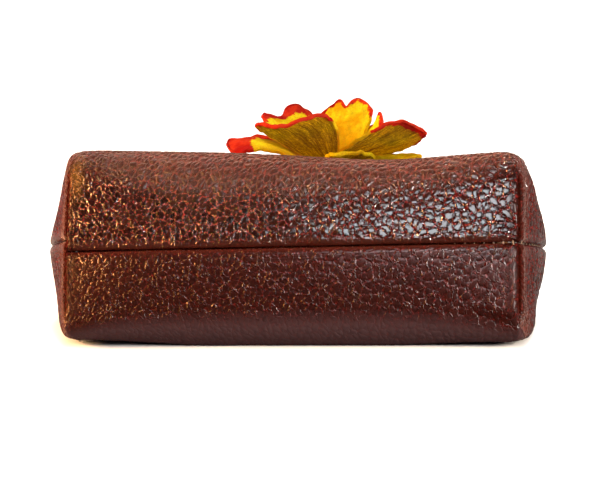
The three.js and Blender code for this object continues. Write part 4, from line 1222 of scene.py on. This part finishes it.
def pouch_finish(grain_group):
    """Pebbled leather: dark tops, redder creases, painted light on the folds and at the front's left end,
    painted shade in the corner grooves, plain along the seams.
    """
    material, tree, shader = new_finish("pebbled_leather")
    flat = add_node(tree, "ShaderNodeUVMap", uv_map="hide_map").outputs["UV"]
    seam, worn, corner, side, tan = (mark(tree, name) for name in ("seam", "worn", "corner", "side", "tan"))
    seam_band = calc(tree, "SUBTRACT", seam, calc(tree, "ADD", corner, side), clamp=True)
    past_fold = add_node(tree, "ShaderNodeSeparateXYZ", {"Vector": flat}).outputs[1]
    past_fold = calc(tree, "MULTIPLY_ADD", worn, -5 * MM, past_fold)
    # rubbed marks a band just above each half's fold. It makes the leather there rounder, rougher and softer
    # in its shine, and it also paints light into the colour below.
    rubbed = calc(tree, "MULTIPLY", step_between(tree, past_fold, -5 * MM, 3 * MM),
                  step_between(tree, past_fold, 8 * MM, 20 * MM, 1.0, 0.0))
    flattened = calc(tree, "MULTIPLY", worn, calc(tree, "MULTIPLY_ADD", rubbed, 0.7, 1.0))
    grain = add_node(tree, "ShaderNodeGroup", {
        "Map": flat, "Pitch mm": GRAIN_PITCH, "Fan": GRAIN_FAN, "Roundness": rubbed,
        "Plainness": calc(tree, "MAXIMUM", seam_band, flattened, clamp=True),
    }, node_tree=grain_group).outputs

    body = blend_colour(tree, grain["Tone"], PEBBLE_DARK, PEBBLE_BROWN)
    redder = calc(tree, "MULTIPLY_ADD", worn, 0.5, calc(tree, "MULTIPLY", grain["Flecks"], 0.4))
    body = blend_colour(tree, redder, body, PEBBLE_RED)
    # Painted light: paler tops on the front's fold, and bluish tops on the back's fold as a painted
    # reflection.
    painted_light_share = calc(tree, "MULTIPLY", rubbed, calc(tree, "MULTIPLY_ADD", worn, 0.6, 0.2))
    body = blend_colour(tree, painted_light_share, body, blend_colour(tree, worn, ROLL_TOP_PAINTED_LIGHT, BOTTOM_TOP_PAINTED_REFLECTION))
    crease = blend_colour(tree, grain["Flecks"], CREASE_DARK, CREASE_CRIMSON)
    # The fold's creases likewise: paler as painted highlights on the front, and bluish as a painted
    # reflection on the back.
    painted_light_share = calc(tree, "MULTIPLY", rubbed, calc(tree, "MULTIPLY", grain["Valley"], 0.32))
    crease = blend_colour(tree, painted_light_share, crease, blend_colour(tree, worn, ROLL_CREASE_PAINTED_HIGHLIGHT, BOTTOM_CREASE_PAINTED_REFLECTION))
    colour = blend_colour(tree, grain["Valley"], body, crease)
    colour = blend_colour(tree, calc(tree, "MULTIPLY", seam_band, 0.7), colour, SEAM_ROLL_BROWN)
    clouds = noise(tree, vector_calc(tree, "MULTIPLY", flat, (150.0, 420.0, 1.0)), 1.0, 3.0, 0.7)
    low_side = calc(tree, "MULTIPLY", side, step_between(tree, past_fold, 12 * MM, 40 * MM, 0.8, 0.0))
    clouds = calc(tree, "MULTIPLY", step_between(tree, clouds, 0.4, 0.6), low_side)
    colour = blend_colour(tree, clouds, colour, SIDE_CLOUD_BROWN)
    # Painted highlight: a golden patch at the left end of the front's base, where the warm light falls,
    # broken up by the flecks.
    tan = calc(tree, "MULTIPLY", tan, step_between(tree, grain["Flecks"], 0.0, 1.0, 0.25, 0.75))
    colour = blend_colour(tree, tan, colour, PAINTED_GOLD_HIGHLIGHT)
    # Painted shade: the boxed corners' grooves are darkened almost to black, where shade falls in them.
    groove_shade = calc(tree, "MULTIPLY", calc(tree, "POWER", corner, 3.0), 0.85)
    colour = blend_colour(tree, groove_shade, colour, GROOVE_PAINTED_SHADE)

    rough = step_between(tree, noise(tree, flat, 900.0, 3.0), 0.3, 0.7, 0.07, 0.14)
    for share, more in ((worn, 0.26), (rubbed, 0.06), (corner, 0.35)):
        rough = calc(tree, "MULTIPLY_ADD", share, more, rough)
    grazing = add_node(tree, "ShaderNodeLayerWeight", {"Blend": 0.5}).outputs["Facing"]
    shine = step_between(tree, grazing, 0.4, 0.8, 0.07, 0.025)
    shine = calc(tree, "MAXIMUM", shine, calc(tree, "MULTIPLY", calc(tree, "ADD", side, worn), 0.06))
    shine = less(tree, less(tree, shine, worn, 0.7), rubbed, 0.45)
    shine = calc(tree, "MULTIPLY", shine, calc(tree, "MULTIPLY_ADD", corner, -1.3, 1.0, clamp=True))
    sheen = calc(tree, "MULTIPLY", less(tree, rubbed, worn, 1.0), 0.28)
    feed(tree, shader, {
        "Base Color": colour, "Roughness": rough, "Normal": bumped(tree, grain["Height"], 1.0, 0.4),
        "Specular IOR Level": shine,
        "Sheen Weight": sheen, "Sheen Roughness": 0.35, "Sheen Tint": RUBBED_SHEEN,
    })
    return material


def petal_finish(name, is_upper):
    """Thin dyed petal leather that lets light through: yellow above, mustard suede below, a red rim."""
    material, tree, shader = new_finish(name)
    along, across, past_paint, petal = (
        mark(tree, label) for label in ("along", "across", "past_paint", "petal"))
    object_at = object_place(tree)
    streak_at = add_node(tree, "ShaderNodeCombineXYZ", {0: across, 1: along, 2: petal}).outputs[0]
    streak_at = vector_calc(tree, "MULTIPLY", streak_at, (9.0, 1.6, 7.3))
    streaks = noise(tree, streak_at, 1.0, 4.0, 0.6)
    fibres = noise(tree, vector_calc(tree, "MULTIPLY", streak_at, (2.6, 2.2, 1.0)), 1.0, 5.0, 0.75)
    blots = noise(tree, object_at, 130.0, 3.0, 0.6)
    fuzz = noise(tree, object_at, 1500.0, 3.0, 0.7)
    if is_upper:
        lemon = step_between(tree, along, 0.35, 0.75)
        lemon = calc(tree, "MULTIPLY", lemon, step_between(tree, blots, 0.35, 0.6))
        body = blend_colour(tree, lemon, PETAL_YELLOW, PETAL_LEMON)
        body = blend_colour(tree, step_between(tree, fuzz, 0.42, 0.68, 0.0, 0.5), body, PETAL_OLIVE)
        body = blend_colour(tree, step_between(tree, streaks, 0.52, 0.75, 0.0, 0.5), body, PETAL_ORANGE)
    else:
        body = blend_colour(tree, step_between(tree, streaks, 0.36, 0.62), SUEDE_MUSTARD, SUEDE_YELLOW)
        body = blend_colour(tree, step_between(tree, fibres, 0.47, 0.62), body, SUEDE_FIBRE)
        body = blend_colour(tree, step_between(tree, blots, 0.5, 0.75, 0.0, 0.6), body, SUEDE_OLIVE)
        body = blend_colour(tree, step_between(tree, fuzz, 0.42, 0.62, 0.0, 0.6), body, SUEDE_SHADE)
    paint_reach, driest, smoothest = (2.1, 0.8, 0.6) if is_upper else (1.4, 1.0, 0.85)
    ragged = noise(tree, object_at, 620.0, 3.0, 0.65)
    edge = calc(tree, "MULTIPLY_ADD", ragged, 4.4, calc(tree, "SUBTRACT", past_paint, paint_reach))
    red = step_between(tree, edge, -0.3, 0.6, 1.0, 0.0)
    paint = blend_colour(tree, step_between(tree, blots, 0.4, 0.6), PAINT_DEEP, PAINT_RED)
    colour = blend_colour(tree, red, body, paint)
    dry = step_between(tree, fuzz, 0.3, 0.7, smoothest, driest)
    height = calc(tree, "ADD", calc(tree, "MULTIPLY_ADD", streaks, 1.4, fuzz), fibres)
    feed(tree, shader, {
        "Base Color": colour, "Roughness": calc(tree, "MULTIPLY_ADD", red, -0.15, dry),
        "Normal": bumped(tree, height, 0.8, 0.3), "Specular IOR Level": 0.02,
    })
    through = add_node(tree, "ShaderNodeBsdfTranslucent", {"Color": colour}).outputs[0]
    both = add_node(tree, "ShaderNodeMixShader", {0: 0.55, 1: shader.outputs[0], 2: through}).outputs[0]
    tree.links.new(both, tree.nodes["Material Output"].inputs["Surface"])
    return material


def brass_finish():
    material, tree, shader = new_finish("aged_brass")
    object_at = object_place(tree)
    aged = step_between(tree, noise(tree, object_at, 160.0, 4.0, 0.6), 0.42, 0.7)
    rubbed = noise(tree, object_at, 1400.0, 2.0, 0.6)
    feed(tree, shader, {
        "Base Color": blend_colour(tree, aged, BRASS_BRIGHT, BRASS_TARNISHED), "Metallic": 1.0,
        "Roughness": calc(tree, "MULTIPLY_ADD", aged, 0.16, step_between(tree, rubbed, 0.3, 0.7, 0.2, 0.32)),
        "Normal": bumped(tree, rubbed, 0.3, 0.05),
    })
    return material


def thread_finish():
    material, tree, shader = new_finish("linen_thread")
    plies = noise(tree, object_place(tree), 2500.0, 2.0, 0.6)
    feed(tree, shader, {
        "Base Color": blend_colour(tree, plies, THREAD_BROWN, THREAD_LINEN), "Roughness": 0.8,
        "Normal": bumped(tree, plies, 0.6, 0.1), "Specular IOR Level": 0.1,
    })
    return material


def flesh_side_finish():
    """The rough inner side of the pouch's leather."""
    material, tree, shader = new_finish("leather_flesh_side")
    object_at = object_place(tree)
    nap = noise(tree, object_at, 900.0, 4.0, 0.65)
    colour = blend_colour(tree, noise(tree, object_at, 60.0), FLESH_DARK, FLESH_TAN)
    colour = blend_colour(tree, step_between(tree, nap, 0.35, 0.7, 0.0, 0.5), colour, FLESH_NAP)
    feed(tree, shader, {"Base Color": colour, "Roughness": 0.92, "Normal": bumped(tree, nap, 0.7, 0.2)})
    return material


def finished(piece, slot, *nodes):
    """Hands a piece over: what it rides on and which of the solids it stands for. Its slot, what it is made
    of, is not used.
    """
    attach(piece, "root")
    if nodes:
        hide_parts(*nodes)


pouch_sides = pouch_finish(pebble_grain()), flesh_side_finish()
relief = leather_relief()
front_sheet = PouchSheet(is_front=True)
back_sheet = PouchSheet(is_front=False)
finished(pouch_half("front_half", front_sheet, *pouch_sides, relief), "pouch_leather", "front_panel")
finished(pouch_half("back_half", back_sheet, *pouch_sides, relief), "pouch_leather", "back_panel")
finished(seam_thread("seam_thread", front_sheet, thread_finish()), "pouch_leather")

brass, sweep = brass_finish(), swept_channel()
finished(mouth_half("mouth_front", True, brass, sweep), "brass", "frame_front")
finished(mouth_half("mouth_back", False, brass, sweep), "brass", "frame_back")
finished(hinge_rivets("hinge_rivets", brass), "brass", "hinge_rivet_left", "hinge_rivet_right")

petal_sides = petal_finish("petal_upper_side", True), petal_finish("petal_suede_side", False)
petals_lower = blossom("petals_lower", LOWER_PETALS, LOWER_PAINT, LOWER_LIFT, petal_sides)
petals_upper = blossom("petals_upper", UPPER_PETALS, UPPER_PAINT, UPPER_LIFT, petal_sides)
finished(petals_lower, "petal_leather", "blossom_lower")
finished(petals_upper, "petal_leather", "blossom_upper")
finished(flower_stud("stud", brass), "brass", "flower_stud")


def floor_paper():
    """Pale paper that shows white, and throws less light back at the purse than it shows."""
    material, tree, shader = new_finish("floor_paper")
    tree.nodes.remove(shader)
    shown, thrown = (add_node(tree, "ShaderNodeBsdfDiffuse", {"Color": (grey, grey, grey, 1)}).outputs[0]
                     for grey in (0.9, 0.2))
    seen = add_node(tree, "ShaderNodeLightPath").outputs["Is Camera Ray"]
    both = add_node(tree, "ShaderNodeMixShader", {0: seen, 1: thrown, 2: shown}).outputs[0]
    tree.links.new(both, tree.nodes["Material Output"].inputs["Surface"])
    return material


floor_mesh = bpy.data.meshes.new("floor")
floor_mesh.from_pydata([(-4, -3, 0), (4, -3, 0), (4, 6, 0), (-4, 6, 0)], [], [(0, 1, 2, 3)])
floor_mesh.materials.append(floor_paper())
floor = linked("floor", floor_mesh)

# Camera: looks at the base from a little above, as far off as the picture's perspective says.
PICTURE_WIDTH = 600  # pixels
FOCAL_PIXELS = 1593.0
SENSOR_WIDTH = 36.0
VIEW_DISTANCE = 450.0
VIEW_ELEVATION = math.radians(10)
AIM_RIGHT, AIM_UP = 8.0, 7.0  # pixels from the middle of the base to the middle of the picture
camera_data = bpy.data.cameras.new("camera")
camera_data.sensor_width = SENSOR_WIDTH
camera_data.lens = SENSOR_WIDTH * FOCAL_PIXELS / PICTURE_WIDTH
camera_data.clip_start = 0.01
camera = linked("camera", camera_data)
base_middle = LYING.translation
ahead = Vector((0, math.cos(VIEW_ELEVATION), -math.sin(VIEW_ELEVATION)))
above = Vector((0, math.sin(VIEW_ELEVATION), math.cos(VIEW_ELEVATION)))
camera.location = base_middle - ahead * VIEW_DISTANCE * MM
aim = base_middle + (Vector((1, 0, 0)) * AIM_RIGHT + above * AIM_UP) * VIEW_DISTANCE / FOCAL_PIXELS * MM
camera.rotation_euler = (aim - camera.location).to_track_quat("-Z", "Y").to_euler()
bpy.context.scene.camera = camera

# Studio: bright behind the purse and overhead, dark on the camera's side, with less of it in the shine.
SKY_AHEAD, SKY_BEHIND = (0.05, 0.05, 0.055), (1.0, 1.0, 1.0)
world = bpy.data.worlds.new("studio")
world.use_nodes = True
sky = world.node_tree
toward = add_node(sky, "ShaderNodeTexCoord").outputs["Generated"]
toward = add_node(sky, "ShaderNodeSeparateXYZ", {"Vector": toward}).outputs
behind = step_between(sky, toward[1], 0.1, 0.8, 0.0, 1.0)
overhead = step_between(sky, toward[2], 0.3, 0.9, 0.0, 0.8)
brightness = calc(sky, "MAXIMUM", behind, overhead)
shine = add_node(sky, "ShaderNodeLightPath").outputs["Is Glossy Ray"]
brightness = calc(sky, "MULTIPLY", brightness, calc(sky, "MULTIPLY_ADD", shine, -0.7, 1.0))
sky_colour = blend_colour(sky, brightness, SKY_AHEAD, SKY_BEHIND)
feed(sky, sky.nodes["Background"], {"Color": sky_colour, "Strength": 1.0})
bpy.context.scene.world = world
bpy.context.scene.view_settings.view_transform = "Standard"


def new_light(name, kind, power, colour):
    data = bpy.data.lights.new(name, kind)
    data.energy, data.color = power, colour
    return linked(name, data)


def soft_light(name, stands_at, points_at, size, power, colour, lights):
    """A rectangular light, either for the shine alone or for the fill alone."""
    light = new_light(name, "AREA", power, colour)
    light.data.shape = "RECTANGLE"
    light.data.size, light.data.size_y = size
    light.location = stands_at
    light.rotation_euler = (Vector(points_at) - Vector(stands_at)).to_track_quat("-Z", "Y").to_euler()
    light.visible_diffuse, light.visible_glossy = lights == "fill", lights == "shine"


# Where each light stands, where it points, its size, power and colour, and what it lights.
SOFT_LIGHTS = {
    "light_window": (
        (0.047, -0.15, 0.077), (0.035, -0.055, 0.036), (0.07, 0.045), 0.85, (0.84, 0.95, 1), "shine"),
    "light_gold": ((-0.2, -0.13, 0.048), (-0.06, -0.05, 0.036), (0.03, 0.04), 18.0, (1, 0.38, 0.11), "shine"),
    "light_glint": ((0.22, -0.2, 0.048), (0.0, -0.055, 0.036), (0.03, 0.03), 9.0, (1, 0.9, 0.85), "shine"),
    "light_warm": ((-0.6, -0.06, 0.2), (-0.05, -0.04, 0.03), (0.16, 0.2), 15.0, (1, 0.56, 0.27), "fill"),
    "light_right": ((0.6, -0.15, 0.2), (0.06, -0.03, 0.03), (0.2, 0.2), 6.5, (1, 0.85, 0.7), "fill"),
    "light_front": ((0.1, -0.9, 0.6), (0, -0.04, 0.03), (0.5, 0.4), 5.0, (1, 0.95, 0.9), "fill"),
}
for light_name, light_values in SOFT_LIGHTS.items():
    soft_light(light_name, *light_values)
sun = new_light("light_above", "SUN", 3.2, (1, 0.98, 0.96))
sun.data.angle = math.radians(18)
sun.rotation_euler = Vector((0.05, 0.35, 1)).to_track_quat("Z", "Y").to_euler()
